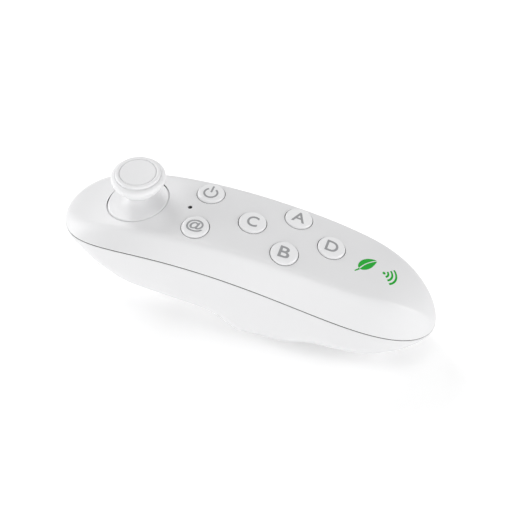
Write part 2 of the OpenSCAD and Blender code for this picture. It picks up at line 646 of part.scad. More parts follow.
module tray_screws() {
  color("silver") for (s = TRAY_POSTS) {
    translate([s[0], s[1], TRAY_Z + 1.2]) cylinder(r = 1.6, h = 1.1, $fn = 32);
    translate([s[0], s[1], TRAY_Z - 3.6]) cylinder(r = 0.8, h = 5.2, $fn = 32);
  }
}

upper_shell();
lower_shell();
battery_door();
key_power();
key_at_sign();
key_c();
key_a();
key_b();
key_d();
plunger_power();
plunger_at_sign();
plunger_c();
plunger_a();
plunger_b();
plunger_d();
tact_switches();
led_lens();
led_chip();
main_board();
radio_chip();
crystal();
capacitors();
stick_skirt();
stick_cap();
stick_pad();
stick_shaft();
gimbal_ring();
gimbal_arc();
stick_housing();
potentiometer_x();
potentiometer_y();
upper_trigger();
lower_trigger();
upper_trigger_pin();
lower_trigger_pin();
trigger_switches();
battery_tray();
cell_near();
cell_far();
contact_link();
contact_positive();
contact_negative();
wire_red();
wire_black();
case_screws();
board_screws();
tray_screws();
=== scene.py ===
import json
import math

import bmesh
import bpy
import numpy as np
from bpy.props import FloatProperty, FloatVectorProperty, IntProperty, PointerProperty
from mathutils import Matrix, Vector


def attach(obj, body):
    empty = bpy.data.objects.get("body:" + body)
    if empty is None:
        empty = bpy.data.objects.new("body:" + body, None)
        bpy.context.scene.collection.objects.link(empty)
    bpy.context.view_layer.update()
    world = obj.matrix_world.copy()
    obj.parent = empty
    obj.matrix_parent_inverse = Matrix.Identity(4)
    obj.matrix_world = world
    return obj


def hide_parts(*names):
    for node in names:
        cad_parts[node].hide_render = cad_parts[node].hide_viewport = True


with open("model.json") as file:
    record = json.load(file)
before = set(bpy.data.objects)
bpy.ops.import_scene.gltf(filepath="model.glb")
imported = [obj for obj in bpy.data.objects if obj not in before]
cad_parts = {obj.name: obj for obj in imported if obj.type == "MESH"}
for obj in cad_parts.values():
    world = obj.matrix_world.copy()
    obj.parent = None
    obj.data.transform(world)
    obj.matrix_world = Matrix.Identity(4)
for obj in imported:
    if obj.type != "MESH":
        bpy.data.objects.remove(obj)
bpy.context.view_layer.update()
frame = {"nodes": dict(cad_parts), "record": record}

bl_info = {
    "name": "Thumb stick motion controller",
    "version": (1, 0, 0),
    "blender": (4, 5, 0),
    "location": "View3D > Sidebar > Controller",
    "description": "Builds a one-hand motion controller piece by piece",
    "category": "Object",
}

MM = 0.001


def tint(hexa):
    """sRGB hex to the linear colour that the shaders use."""
    parts = [int(hexa[i:i + 2], 16) / 255 for i in (1, 3, 5)]
    return tuple(c / 12.92 if c <= 0.04045 else ((c + 0.055) / 1.055) ** 2.4 for c in parts) + (1.0,)


# ---------------------------------------------------------------- sizes and colours

def length(name, text, default, low=0.0, high=0.3):
    return FloatProperty(name=name, description=text, default=default * MM, min=low, max=high,
                         unit="LENGTH", subtype="DISTANCE", precision=5)


def colour(name, text, hexa):
    return FloatVectorProperty(name=name, description=text, default=tint(hexa), size=4, min=0, max=1,
                               subtype="COLOR")


class CaseSizes(bpy.types.PropertyGroup):
    long: length("Length", "Length of the case", 136)
    wide: length("Width", "Width of the case", 40)
    parting: length("Parting height", "Height of the parting line at mid length", 31.1)
    crown: length("Crown height", "Height of the upper shell above the parting line", 13.9)
    fall: FloatProperty(name="Crown fall", description="Fall of the top face towards its edges",
                        default=0.153, min=0, max=0.5)
    band: FloatProperty(name="Band steepness", description="Steepness of the side band", default=3.55,
                        min=1, max=8)
    softness: FloatProperty(name="Shoulder blend", description="Softness of the shoulder", default=0.2,
                            min=0.02, max=0.6)
    power: FloatProperty(name="Belly power", description="Power of the lower shell's cross-section",
                         default=4.2, min=2, max=8)
    wall: length("Wall", "Wall thickness of both shells", 1.9)
    seam: length("Seam gap", "Gap along the parting line", 0.3)
    edge: length("Edge radius", "Rounding of the shells' edges at the seam", 0.22)
    stations: IntProperty(name="Stations", description="Stations along the body", default=210, min=40,
                          max=400)


class KeySizes(bpy.types.PropertyGroup):
    across: length("Key diameter", "Diameter of a round key", 9.7)
    proud: length("Key height", "How far a key stands above the case", 1.0)
    gap: length("Key clearance", "Gap round a key, on the radius", 0.25)
    travel: length("Key travel", "How far a key moves", 0.7)
    window: length("Window diameter", "Diameter of the indicator window", 1.6)
    letter: length("Letter height", "Height of a printed letter", 4.5)
    stroke: length("Symbol stroke", "Width of the power symbol's line", 0.66)


class StickSizes(bpy.types.PropertyGroup):
    place: length("Stick place", "Centre of the stick opening along the body", -41.1, low=-0.1)
    skirt: length("Skirt diameter", "Diameter of the skirt at the opening", 21.4)
    pivot: length("Tilt centre depth", "Depth of the tilt centre under the opening", 7.0)
    lean: FloatProperty(name="Lean", description="Lean of the opening towards the front end",
                        default=math.radians(8.5), subtype="ANGLE", unit="ROTATION")
    cap: length("Cap diameter", "Diameter of the cap", 19.2)
    rise: length("Cap height", "Height of the cap's top above the opening", 13.7)
    rest: FloatProperty(name="Stick lean", description="Lean of the stick towards the front end at rest",
                        default=math.radians(1.5), subtype="ANGLE", unit="ROTATION")
    clearance: length("Skirt clearance", "Gap between the skirt and the case", 0.35)


class TriggerSizes(bpy.types.PropertyGroup):
    half: length("Half width", "Half width of the triggers", 10)
    front: length("Front edge", "Front edge of the upper trigger", -62, low=-0.1)
    split: length("Split", "Where the two triggers meet", -53.4, low=-0.1)
    rear: length("Rear edge", "Rear edge of the lower trigger", -43.9, low=-0.1)
    between: length("Gap between", "Gap between the two triggers", 0.9)
    gap: length("Gap round", "Gap round the triggers", 0.4)
    skin: length("Skin", "Skin thickness of the triggers", 2.0)
    ribs: IntProperty(name="Grip ribs", description="Grip ribs on the lower trigger", default=4, min=0,
                      max=8)


class DoorSizes(bpy.types.PropertyGroup):
    front: length("Front edge", "Front edge of the battery door", -3, low=-0.1)
    rear: length("Rear edge", "Rear edge of the battery door", 49)
    half: length("Half width", "Half width of the battery door", 12.4)
    gap: length("Gap", "Gap round the battery door", 0.25)
    skin: length("Skin", "Skin thickness of the battery door", 1.8)
    ribs: IntProperty(name="Thumb ribs", description="Ribs for the thumb near the rear edge", default=7,
                      min=0, max=12)
    cell: length("Cell diameter", "Diameter of a cell", 10.5)
    cell_long: length("Cell length", "Length of a cell", 44.5)
    cell_z: length("Cell height", "Height of the cells' axes", 12.2)


class Finishes(bpy.types.PropertyGroup):
    case: colour("Case", "Moulded case", "#e3e3e4")
    keys: colour("Keys", "Key caps", "#ececed")
    stick: colour("Stick", "Thumb stick cap and skirt", "#e9e9ea")
    pad: colour("Pad", "Dished pad on the stick", "#ebebec")
    ink: colour("Key print", "Printed letters on the keys", "#9a9b9d")
    mark: colour("Green print", "Green pictograms on the case", "#04a823")
    cells: colour("Cell wrap", "Shrink wrap of the cells", "#2f6fb0")
    floor: colour("Floor", "Studio floor", "#fbfbfb")


GROUPS = {"controller_case": CaseSizes, "controller_keys": KeySizes, "controller_stick": StickSizes,
          "controller_triggers": TriggerSizes, "controller_door": DoorSizes, "controller_finish": Finishes}


# ---------------------------------------------------------------- the case's shape

def blend(a, b, k):
    h = np.clip(0.5 + 0.5 * (b - a) / k, 0, 1)
    return b * (1 - h) + a * h - k * h * (1 - h)


class Shape:
    """The case's faces as functions of the place along and across the body, in millimetres."""

    U = np.array([-1, -.912, -.853, -.735, -.588, -.368, -.147, -.04, .02, .215, .33, .42, .647, .82, .94, 1])

    def __init__(self, scene):
        c = scene.controller_case
        self.hl, self.hw = c.long / MM / 2, c.wide / MM / 2
        self.parting, self.crown_h = c.parting / MM, c.crown / MM
        self.fall, self.band, self.soft, self.power = c.fall, c.band, c.softness, c.power
        self.wall, self.seam, self.edge, self.count = c.wall / MM, c.seam / MM, c.edge / MM, c.stations
        z = np.array([0, 28.8, 26.4, 19.3, 13.2, 10.4, 7.6, 2.6, -.25, -.25, 2.0, 3.7, 3.4, 6.4, 10.0, 0])
        z[0], z[-1] = self.part(-self.hl), self.part(self.hl)
        self.z = z
        h, d = np.diff(self.U), np.diff(z) / np.diff(self.U)
        m = np.zeros(len(z))
        m[0], m[-1] = d[0], d[-1]
        for i in range(1, len(z) - 1):
            if d[i - 1] * d[i] > 0:
                p, q = 2 * h[i] + h[i - 1], h[i] + 2 * h[i - 1]
                m[i] = (p + q) / (p / d[i - 1] + q / d[i])
        self.m = m

    def part(self, x):
        u = np.asarray(x) / self.hl
        return self.parting - 11.5 * u - 10.3 * u * u + 2.4 * u ** 3

    def share(self, x, c, front, rear):
        u = np.clip(np.asarray(x, float) / self.hl, -1, 1)
        s = np.clip(np.where(u < c, (c - u) / (c + 1), (u - c) / (1 - c)), 0, 1)
        return np.sqrt(np.maximum(0, 1 - s ** np.where(u < c, front, rear)))

    def half(self, x):
        return self.hw * self.share(x, -0.022, 7, 4.2)

    def crown(self, x):
        return self.crown_h * self.share(x, 0.653, 1.1, 2.7)

    def belly(self, x):
        u = np.clip(np.asarray(x, float) / self.hl, -1, 1)
        k = np.clip(np.searchsorted(self.U, u, "right") - 1, 0, len(self.U) - 2)
        w = self.U[k + 1] - self.U[k]
        t = (u - self.U[k]) / w
        return ((2 * t ** 3 - 3 * t * t + 1) * self.z[k] + (t ** 3 - 2 * t * t + t) * w * self.m[k]
                + (3 * t * t - 2 * t ** 3) * self.z[k + 1] + (t ** 3 - t * t) * w * self.m[k + 1])

    def shoulder(self, x):
        return self.soft + 0.9 * (np.maximum(0, np.abs(np.asarray(x) / self.hl) - 0.55) / 0.45) ** 2

    def top_share(self, r, x):
        return blend(1 - self.fall * r * r, self.band * (1 - r), self.shoulder(x))

    def low_share(self, r):
        return np.maximum(0, 1 - np.clip(r, 0, 1) ** self.power) ** (1 / self.power)

    def top(self, x, y):
        r = np.minimum(1, np.abs(y) / np.maximum(self.half(x), 1e-6))
        return self.part(x) + self.crown(x) * self.top_share(r, x)

    def low(self, x, y):
        r = np.abs(y) / np.maximum(self.half(x), 1e-6)
        return np.maximum(0, self.part(x) - (self.part(x) - self.belly(x)) * self.low_share(r))

    def stations(self, count):
        """Places along the body, crowded where the outline turns."""
        x = -self.hl * np.cos(np.linspace(0, math.pi, 8001))
        steps = np.sqrt(np.diff(x) ** 2 + np.diff(self.half(x)) ** 2 + 0.6 * np.diff(self.crown(x)) ** 2)
        run = np.concatenate([[0], np.cumsum(steps)])
        return np.interp(np.linspace(0, run[-1], count + 1), run, x)

    def across(self, up, count):
        """Shares of the half width, evenly spaced along the section's outline."""
        r = np.sin(np.linspace(-math.pi / 2, math.pi / 2, 6001))
        z = self.crown_h * self.top_share(np.abs(r), 0.0) if up else 30 * self.low_share(np.abs(r))
        run = np.concatenate([[0], np.cumsum(np.hypot(np.diff(r * self.hw), np.diff(z)))])
        out = np.interp(np.linspace(0, run[-1], count + 1), run, r)
        return (out - out[::-1]) / 2

    def skin(self, up, inset, xs, rs):
        """A grid of points on a shell's outer (inset 0) or inner face."""
        x = xs * ((self.hl - 2 * inset) / self.hl if inset else 1)
        w = self.half(xs) * (self.hw - inset) / self.hw
        z0 = self.part(x) + (self.seam / 2 if up else -self.seam / 2)
        r = np.abs(rs)[None, :]
        if up:
            d = np.maximum(0.1, self.crown(xs) - inset)[:, None] * self.top_share(r, xs[:, None])
        else:
            d = -np.maximum(0.1, self.part(xs) - np.maximum(self.belly(xs), 0) - inset)[:, None] * self.low_share(r)
        d[0, :] = d[-1, :] = 0
        return np.stack([np.repeat(x[:, None], len(rs), 1), w[:, None] * rs[None, :], z0[:, None] + d], -1)

    def shell(self, up):
        """Points and faces of one shell: outer face, rounded seam edges, rim and inner face."""
        xs = self.stations(self.count)
        n = 84 if up else 96
        rs = self.across(up, n)
        outer = self.skin(up, 0, xs, rs)
        inner = self.skin(up, self.wall, xs, self.across(up, 40))
        rows = []
        for i in range(len(xs)):
            a, b = outer[i, 0].copy(), outer[i, 1]
            e = self.edge * min(1.0, self.half(xs[i]) / 4)
            along = (b - a) / max(np.linalg.norm(b - a), 1e-9)
            inward = np.array([0, 1.0, 0])
            left = [a + inward * e, a + (along + inward) * e * 0.29, a + along * e]
            right = [p * np.array([1, -1, 1]) for p in left[::-1]]
            rows.append(np.array(left + list(outer[i, 1:-1]) + right))
        outer = np.array(rows)
        nx, ny, ni = outer.shape[0], outer.shape[1], inner.shape[1]
        verts = np.concatenate([outer.reshape(-1, 3), inner.reshape(-1, 3)])
        o = np.arange(nx * ny).reshape(nx, ny)
        p = nx * ny + np.arange(nx * ni).reshape(nx, ni)

        def quads(g, flip):
            q = np.stack([g[:-1, :-1], g[1:, :-1], g[1:, 1:], g[:-1, 1:]], -1).reshape(-1, 4)
            return q[:, ::-1] if flip else q

        faces = [quads(o, not up), quads(p, up)]
        for col, flip in ((0, up), (-1, not up)):
            q = np.stack([o[:-1, col], p[:-1, col], p[1:, col], o[1:, col]], -1)
            faces.append(q[:, ::-1] if flip else q)
        return verts, np.concatenate(faces)

    def on_top(self, x, y):
        """The matrix that sets a piece on the top face, turned to its normal (millimetres)."""
        sx = float(self.top(x + .2, y) - self.top(x - .2, y)) / .4
        sy = float(self.top(x, y + .2) - self.top(x, y - .2)) / .4
        return (Matrix.Translation((x, y, float(self.top(x, y))))
                @ Matrix.Rotation(math.atan(sy), 4, "X")
                @ Matrix.Rotation(-math.atan(sx * math.cos(math.atan(sy))), 4, "Y"))


# ---------------------------------------------------------------- mesh helpers

def piece(name, verts, faces, finish, place=None, sharp=32, merge=1e-4, turn=True):
    """A smooth mesh object from points in millimetres, with its place in its mesh."""
    mesh = bpy.data.meshes.new(name)
    mesh.from_pydata([tuple(map(float, v)) for v in verts], [], [tuple(map(int, f)) for f in faces])
    bm = bmesh.new()
    bm.from_mesh(mesh)
    bmesh.ops.remove_doubles(bm, verts=bm.verts, dist=merge)
    bmesh.ops.dissolve_degenerate(bm, dist=merge * 0.5, edges=bm.edges)
    if turn:
        bmesh.ops.recalc_face_normals(bm, faces=bm.faces)
    if bm.calc_volume(signed=True) < 0:
        bmesh.ops.reverse_faces(bm, faces=bm.faces)
    bm.transform((Matrix.Scale(MM, 4) @ place) if place else Matrix.Scale(MM, 4))
    bm.to_mesh(mesh)
    bm.free()
    obj = bpy.data.objects.new(name, mesh)
    bpy.context.collection.objects.link(obj)
    if finish:
        mesh.materials.append(finish)
    soften(obj, sharp)
    return obj


def soften(obj, sharp=32):
    obj.data.shade_smooth()
    obj.data.set_sharp_from_angle(angle=math.radians(sharp))


def bake_modifiers(obj, sharp=32):
    """Turns the evaluated object into a plain mesh and drops its modifiers."""
    depsgraph = bpy.context.evaluated_depsgraph_get()
    mesh = bpy.data.meshes.new_from_object(obj.evaluated_get(depsgraph), depsgraph=depsgraph)
    obj.modifiers.clear()
    old = obj.data
    obj.data = mesh
    mesh.name = obj.name
    if old.users == 0:
        bpy.data.meshes.remove(old)
    soften(obj, sharp)
    return obj


def cut(obj, tools, how="DIFFERENCE", sharp=32):
    for tool in tools:
        m = obj.modifiers.new("cut", "BOOLEAN")
        m.operation, m.solver, m.object = how, "EXACT", tool
    bpy.context.view_layer.update()
    bake_modifiers(obj, sharp)
    for tool in tools:
        mesh = tool.data
        bpy.data.objects.remove(tool)
        bpy.data.meshes.remove(mesh)
    if not obj.data.polygons:
        raise RuntimeError(f"{obj.name}: nothing is left after the cut")
    return obj


def lathe(name, profile, finish, place=None, steps=96, sharp=32):
    """A solid turned from (radius, height) points, closed at the axis at both ends."""
    verts, faces, rings = [], [], []
    for r, z in profile:
        if r < 1e-6:
            rings.append([len(verts)])
            verts.append((0, 0, z))
        else:
            rings.append(list(range(len(verts), len(verts) + steps)))
            verts += [(r * math.cos(2 * math.pi * k / steps), r * math.sin(2 * math.pi * k / steps), z)
                      for k in range(steps)]
    for a, b in zip(rings, rings[1:]):
        for k in range(steps):
            n = (k + 1) % steps
            if len(a) == 1 and len(b) == 1:
                continue
            if len(a) == 1:
                faces.append((a[0], b[n], b[k]))
            elif len(b) == 1:
                faces.append((a[k], a[n], b[0]))
            else:
                faces.append((a[k], a[n], b[n], b[k]))
    return piece(name, verts, faces, finish, place, sharp)


def rounded(points, radius, steps=5):
    """The same open outline with its inner corners rounded."""
    out = [points[0]]
    for a, b, c in zip(points, points[1:], points[2:]):
        a, b, c = (np.array(p, float) for p in (a, b, c))
        u, v = a - b, c - b
        lu, lv = np.linalg.norm(u), np.linalg.norm(v)
        d = min(radius, lu * 0.45, lv * 0.45)
        p, q = b + u / lu * d, b + v / lv * d
        for t in np.linspace(0, 1, steps):
            out.append(tuple((1 - t) ** 2 * p + 2 * t * (1 - t) * b + t * t * q))
    return out + [points[-1]]


def prism(low, high, flip=False):
    """Points and faces of a solid between two outlines with as many points; flip turns its end faces."""
    n = len(low)
    ends = [tuple(range(n))[::-1], tuple(range(n, 2 * n))]
    if flip:
        ends = [end[::-1] for end in ends]
    return [*low, *high], ends + [(k, (k + 1) % n, n + (k + 1) % n, n + k) for k in range(n)]


def block(name, low, high, bevel, finish):
    """A box with bevelled edges."""
    bm = bmesh.new()
    bmesh.ops.create_cube(bm, size=1)
    for v in bm.verts:
        v.co = [l + (c + .5) * (u - l) for c, l, u in zip(v.co, low, high)]
    bmesh.ops.bevel(bm, geom=list(bm.edges), offset=bevel, segments=2, profile=.5, affect="EDGES")
    verts, faces = [tuple(v.co) for v in bm.verts], [[v.index for v in f.verts] for f in bm.faces]
    bm.free()
    return piece(name, verts, faces, finish)


def box_tool(name, low, high):
    """A cutting box with rounded upright corners."""
    r, pts = 1.5, []
    for cx, cy, a in ((high[0] - r, high[1] - r, 0), (low[0] + r, high[1] - r, 90),
                      (low[0] + r, low[1] + r, 180), (high[0] - r, low[1] + r, 270)):
        pts += [(cx + r * math.cos(math.radians(a + k * 11.25)),
                 cy + r * math.sin(math.radians(a + k * 11.25)))
                for k in range(9)]
    return piece(name, *prism([(x, y, low[2]) for x, y in pts], [(x, y, high[2]) for x, y in pts]), None)


def patch(name, shape, x0, x1, half, skin, finish, corner=1.25, edge=0.28, nx=70, ny=44):
    """A lid cut from the belly between two stations: rounded corners, rounded outer edge, closed back."""
    cx, hx = (x0 + x1) / 2, (x1 - x0) / 2
    grid_x = np.sin(np.linspace(-1, 1, nx + 1) * math.pi / 2) * .5 + np.linspace(-1, 1, nx + 1) * .5
    grid_y = np.linspace(-1, 1, ny + 1)

    def layer(inset, lift):
        h, rc = hx - inset, corner - inset
        x = cx + h * grid_x
        over = np.maximum(0, np.abs(x - cx) - (h - rc))
        y = (half - inset - rc + np.sqrt(np.maximum(0, rc * rc - over * over)))[:, None] * grid_y[None, :]
        x = np.repeat(x[:, None], ny + 1, 1)
        return np.stack([x, y, shape.low(x, y) + lift], -1)

    layers = [layer(edge, 0), layer(edge * .3, edge * .3), layer(0, edge), layer(0, skin)]
    n = (nx + 1) * (ny + 1)
    ids = np.arange(n).reshape(nx + 1, ny + 1)
    ring = np.concatenate([ids[:-1, 0], ids[-1, :-1], ids[:0:-1, -1], ids[0, :0:-1]])
    verts = np.concatenate([l.reshape(-1, 3) for l in layers])
    quads = np.stack([ids[:-1, :-1], ids[:-1, 1:], ids[1:, 1:], ids[1:, :-1]], -1).reshape(-1, 4)
    faces = [quads, quads[:, ::-1] + 3 * n]
    after = np.roll(ring, -1)
    for k in range(3):
        faces.append(np.stack([ring + k * n, after + k * n, after + (k + 1) * n, ring + (k + 1) * n], -1))
    obj = piece(name, verts, np.concatenate(faces), finish)
    bm = bmesh.new()
    bm.from_mesh(obj.data)
    # the inner points of the two rounding layers carry no face
    bmesh.ops.delete(bm, geom=[v for v in bm.verts if not v.link_faces], context="VERTS")
    bm.to_mesh(obj.data)
    bm.free()
    soften(obj)
    return obj


def join(name, objs):
    """One mesh from several, in place."""
    bm, finishes = bmesh.new(), []
    for o in objs:
        start = len(bm.faces)
        bm.from_mesh(o.data)
        bm.faces.ensure_lookup_table()
        for f in bm.faces[start:]:
            m = o.data.materials[f.material_index] if o.data.materials else None
            if m not in finishes:
                finishes.append(m)
            f.material_index = finishes.index(m)
    mesh = bpy.data.meshes.new(name)
    bm.to_mesh(mesh)
    bm.free()
    for m in finishes:
        mesh.materials.append(m)
    for o in objs:
        bpy.data.objects.remove(o)
    obj = bpy.data.objects.new(name, mesh)
    bpy.context.collection.objects.link(obj)
    soften(obj)
    return obj


def settle(obj, body, slot, *nodes):
    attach(obj, body)
    if nodes:
        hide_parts(*nodes)
    return obj


# ---------------------------------------------------------------- node trees

def add(tree, kind, links=None, **settings):
    """Adds a node; settings name its attributes or its inputs, links go to its inputs."""
    node = tree.nodes.new(kind)
    for key, value in settings.items():
        if hasattr(node, key):
            setattr(node, key, value)
    for key, value in settings.items():
        if not hasattr(node, key):
            name = key.replace("_", " ")
            found = [s for s in node.inputs if s.name.lower() == name.lower() and s.enabled]
            if not found:
                raise RuntimeError(f"{kind} has no input {name}")
            found[0].default_value = value
    for key, source in (links or {}).items():
        socket = node.inputs[key] if isinstance(key, int) else [
            s for s in node.inputs if s.name == key and s.enabled][0]
        tree.links.new(source, socket)
    return node


def finish(name, colours, rough, grain, depth, spread=18.0, **shader):
    """A moulded, printed or plated surface: cloudy colour, uneven gloss and a fine grain.

    colours are two close colours; rough the lowest and highest roughness; grain the bump's size and
    depth its height, in millimetres; spread the size of the cloudy patches.
    """
    old = bpy.data.materials.get(name)
    if old:
        return old
    material = bpy.data.materials.new(name)
    material.use_nodes = True
    tree = material.node_tree
    tree.nodes.clear()
    out = add(tree, "ShaderNodeOutputMaterial", location=(900, 0))
    place = add(tree, "ShaderNodeTexCoord", location=(-900, 0)).outputs["Object"]
    cloud = add(tree, "ShaderNodeTexNoise", {"Vector": place}, location=(-600, 200), Scale=1000 / spread,
                Detail=3.0, Roughness=0.5)
    fine = add(tree, "ShaderNodeTexNoise", {"Vector": place}, location=(-600, -200), Scale=1000 / grain,
               Detail=2.0, Roughness=0.6)
    ramp = add(tree, "ShaderNodeValToRGB", {"Fac": cloud.outputs["Fac"]}, location=(-300, 200))
    ramp.color_ramp.elements[0].position, ramp.color_ramp.elements[1].position = 0.3, 0.7
    ramp.color_ramp.elements[0].color, ramp.color_ramp.elements[1].color = colours
    gloss = add(tree, "ShaderNodeMapRange", {"Value": cloud.outputs["Fac"]}, location=(-300, -50),
                From_Min=0.3, From_Max=0.7, To_Min=rough[0], To_Max=rough[1])
    bump = add(tree, "ShaderNodeBump", {"Height": fine.outputs["Fac"]}, location=(-300, -300),
               Strength=0.5, Distance=depth * MM)
    body = add(tree, "ShaderNodeBsdfPrincipled",
               {"Base Color": ramp.outputs["Color"], "Roughness": gloss.outputs["Result"],
                "Normal": bump.outputs["Normal"]}, location=(400, 0), **shader)
    tree.links.new(body.outputs["BSDF"], out.inputs["Surface"])
    return material


def near(value, by):
    """The same colour, a little darker."""
    return tuple(c * (1 - by) for c in tuple(value)[:3]) + (1.0,)


def pair(value, by=0.02):
    return near(value, by), tuple(value)[:3] + (1.0,)


def case_plastic():
    # ABS moulded in a spark-eroded tool: satin, with an even grain about a tenth of a millimetre wide,
    # drawn three times as coarse so that it shows
    return finish("ABS spark-eroded satin white", pair(bpy.context.scene.controller_finish.case, .012),
                  (.40, .48), .34, .006, IOR=1.53)


def trigger_plastic():
    # the same ABS from a finer tool: a touch glossier under the finger
    return finish("ABS trigger white", pair(bpy.context.scene.controller_finish.case, .012),
                  (.32, .40), .3, .004, IOR=1.53)


def key_plastic():
    # ABS from a polished tool: clean white with a soft highlight on the rounded edge
    return finish("ABS polished key white", pair(bpy.context.scene.controller_finish.keys, .01),
                  (.26, .33), .5, .002, IOR=1.53)


def stick_plastic():
    # soft-touch painted ABS: whiter and duller than the case
    return finish("Soft-touch white", pair(bpy.context.scene.controller_finish.stick, .012),
                  (.42, .5), .3, .005, IOR=1.5)


def pad_rubber():
    # thermoplastic rubber: a dry, fine-pored skin that scatters light
    return finish("Thermoplastic rubber pale grey", pair(bpy.context.scene.controller_finish.pad, .02),
                  (.55, .64), .28, .01, IOR=1.5)


def key_print():
    # pad-printed ink: thin, matt and slightly mottled
    return finish("Pad-print ink grey", pair(bpy.context.scene.controller_finish.ink, .06), (.5, .6), .2,
                  .002,
                  spread=1.2)


def green_print():
    # pad-printed ink: thin, matt and slightly mottled
    return finish("Pad-print ink green", pair(bpy.context.scene.controller_finish.mark, .08), (.45, .55),
                  .2, .002,
                  spread=1.5)


def painted_gap_shade():
    # dark grey painted shade: it fills the seam and the gaps round the keys so that they show as shadow lines; the
    # real parts there are white and only lie in shadow
    return finish("ABS inner frame dark grey", pair(tint("#2b2c2d"), .06), (.6, .7), .4, .006)


def window_acrylic():
    # smoked acrylic: near black with a hard, mirror-like skin
    return finish("Acrylic smoked", pair(tint("#17181a"), .15), (.05, .1), .4, .0005, IOR=1.49)


def steel_plate():
    # nickel-plated steel: bright, slightly warm, with faint rolling marks
    return finish("Steel nickel-plated", pair(tint("#b9b7b2"), .08), (.2, .34), .5, .004, spread=4,
                  Metallic=1.0)


def screw_steel():
    # zinc-plated steel: greyer and duller than nickel
    return finish("Steel zinc-plated", pair(tint("#8f9194"), .12), (.3, .45), .3, .006, spread=2,
                  Metallic=1.0)


def place_of(material):
    """The output that gives a finish its place on the object."""
    return next(n for n in material.node_tree.nodes if n.type == "TEX_COORD").outputs["Object"]


def overlay(material, factor, colour):
    """Lays a second colour over a finish where factor is 1."""
    tree = material.node_tree
    body = next(n for n in tree.nodes if n.type == "BSDF_PRINCIPLED")
    ground = body.inputs["Base Color"].links[0].from_socket
    mix = add(tree, "ShaderNodeMix", {"Factor": factor}, location=(0, 300), data_type="RGBA")
    # a colour mix takes its two colours at sockets 6 and 7 and gives the result at 2
    tree.links.new(ground, mix.inputs[6])
    mix.inputs[7].default_value = colour
    tree.links.new(mix.outputs[2], body.inputs["Base Color"])
    return material


def board_laminate():
    """Glass-epoxy laminate under green solder mask: copper tracks show as lighter lines."""
    name = "Glass-epoxy board green"
    if bpy.data.materials.get(name):
        return bpy.data.materials[name]
    material = finish(name, pair(tint("#1d6b3c"), .15), (.28, .38), .4, .003, spread=9)
    # tracks 0.4 mm wide on a 2.4 mm pitch
    tracks = add(material.node_tree, "ShaderNodeTexBrick", {"Vector": place_of(material)},
                 location=(-600, 500),
                 Scale=1.0, Brick_Width=.0088, Row_Height=.0024, Mortar_Size=.0002, Mortar_Smooth=.1)
    return overlay(material, tracks.outputs["Fac"], tint("#3f9a5c"))


def cell_wrap():
    """Printed shrink wrap on a cell: glossy blue film with a white band towards one end."""
    name = "PVC shrink wrap"
    if bpy.data.materials.get(name):
        return bpy.data.materials[name]
    material = finish(name, pair(bpy.context.scene.controller_finish.cells, .06), (.2, .28), .6, .002,
                      IOR=1.53)
    tree = material.node_tree
    along = add(tree, "ShaderNodeSeparateXYZ", {"Vector": place_of(material)},
                location=(-600, 500)).outputs["X"]
    band = add(tree, "ShaderNodeMapRange", {"Value": along}, location=(-300, 500),
               interpolation_type="STEPPED",
               From_Min=.030, From_Max=.0364, To_Min=0.0, To_Max=1.0, Steps=1.0)
    return overlay(material, band.outputs["Result"], tint("#e8e8e4"))


# finishes of the inner parts: colour, roughness, grain and depth in millimetres, metal
INNER = {
    "black_plastic": ("Liquid-crystal polymer black", "#1e1f21", (.45, .55), .25, .004, 0.0),
    "tan_resin": ("Phenolic laminate tan", "#b98b55", (.4, .5), .5, .006, 0.0),
    "grey_plastic": ("Acetal natural grey", "#a9abae", (.35, .45), .5, .003, 0.0),
    "tray_plastic": ("Polystyrene tray white", "#e6e7e8", (.35, .45), .4, .004, 0.0),
    "wire_red": ("PVC insulation red", "#b5211d", (.3, .4), .3, .002, 0.0),
    "wire_black": ("PVC insulation black", "#1b1b1d", (.3, .4), .3, .002, 0.0),
    "led_body": ("Epoxy diode body", "#e9e4cf", (.2, .3), .4, .002, 0.0),
}
PART_FINISH = {"tact_switches": "black_plastic", "trigger_switches": "black_plastic",
               "radio_chip": "black_plastic",
               "capacitors": "tan_resin", "potentiometer_x": "tan_resin", "potentiometer_y": "tan_resin",
               "stick_housing": "grey_plastic", "gimbal_ring": "grey_plastic", "gimbal_arc": "grey_plastic",
               "plunger_power": "grey_plastic", "plunger_at_sign": "grey_plastic",
               "plunger_c": "grey_plastic",
               "plunger_a": "grey_plastic", "plunger_b": "grey_plastic", "plunger_d": "grey_plastic",
               "battery_tray": "tray_plastic", "wire_red": "wire_red", "wire_black": "wire_black",
               "led_chip": "led_body"}


# ---------------------------------------------------------------- geometry nodes

def tree_with(name, inputs):
    """A geometry node tree with one geometry output and the named inputs, as (kind, default)."""
    tree = bpy.data.node_groups.new(name, "GeometryNodeTree")
    tree.interface.new_socket("Geometry", in_out="OUTPUT", socket_type="NodeSocketGeometry")
    for label, (kind, value) in inputs.items():
        socket = tree.interface.new_socket(label, in_out="INPUT", socket_type=kind)
        if value is not None:
            socket.default_value = value
    return tree


def grow(name, tree, values, sharp=32):
    """Runs a tree on an empty mesh and keeps what it makes as a plain mesh."""
    obj = bpy.data.objects.new(name, bpy.data.meshes.new(name))
    bpy.context.collection.objects.link(obj)
    modifier = obj.modifiers.new("grow", "NODES")
    modifier.node_group = tree
    sockets = {s.name: s.identifier for s in tree.interface.items_tree if s.in_out == "INPUT"}
    for label, value in values.items():
        modifier[sockets[label]] = value
    obj.update_tag()
    bpy.context.view_layer.update()
    bake_modifiers(obj, sharp)
    if not obj.data.polygons:
        raise RuntimeError(f"{name}: the tree made nothing")
    return obj


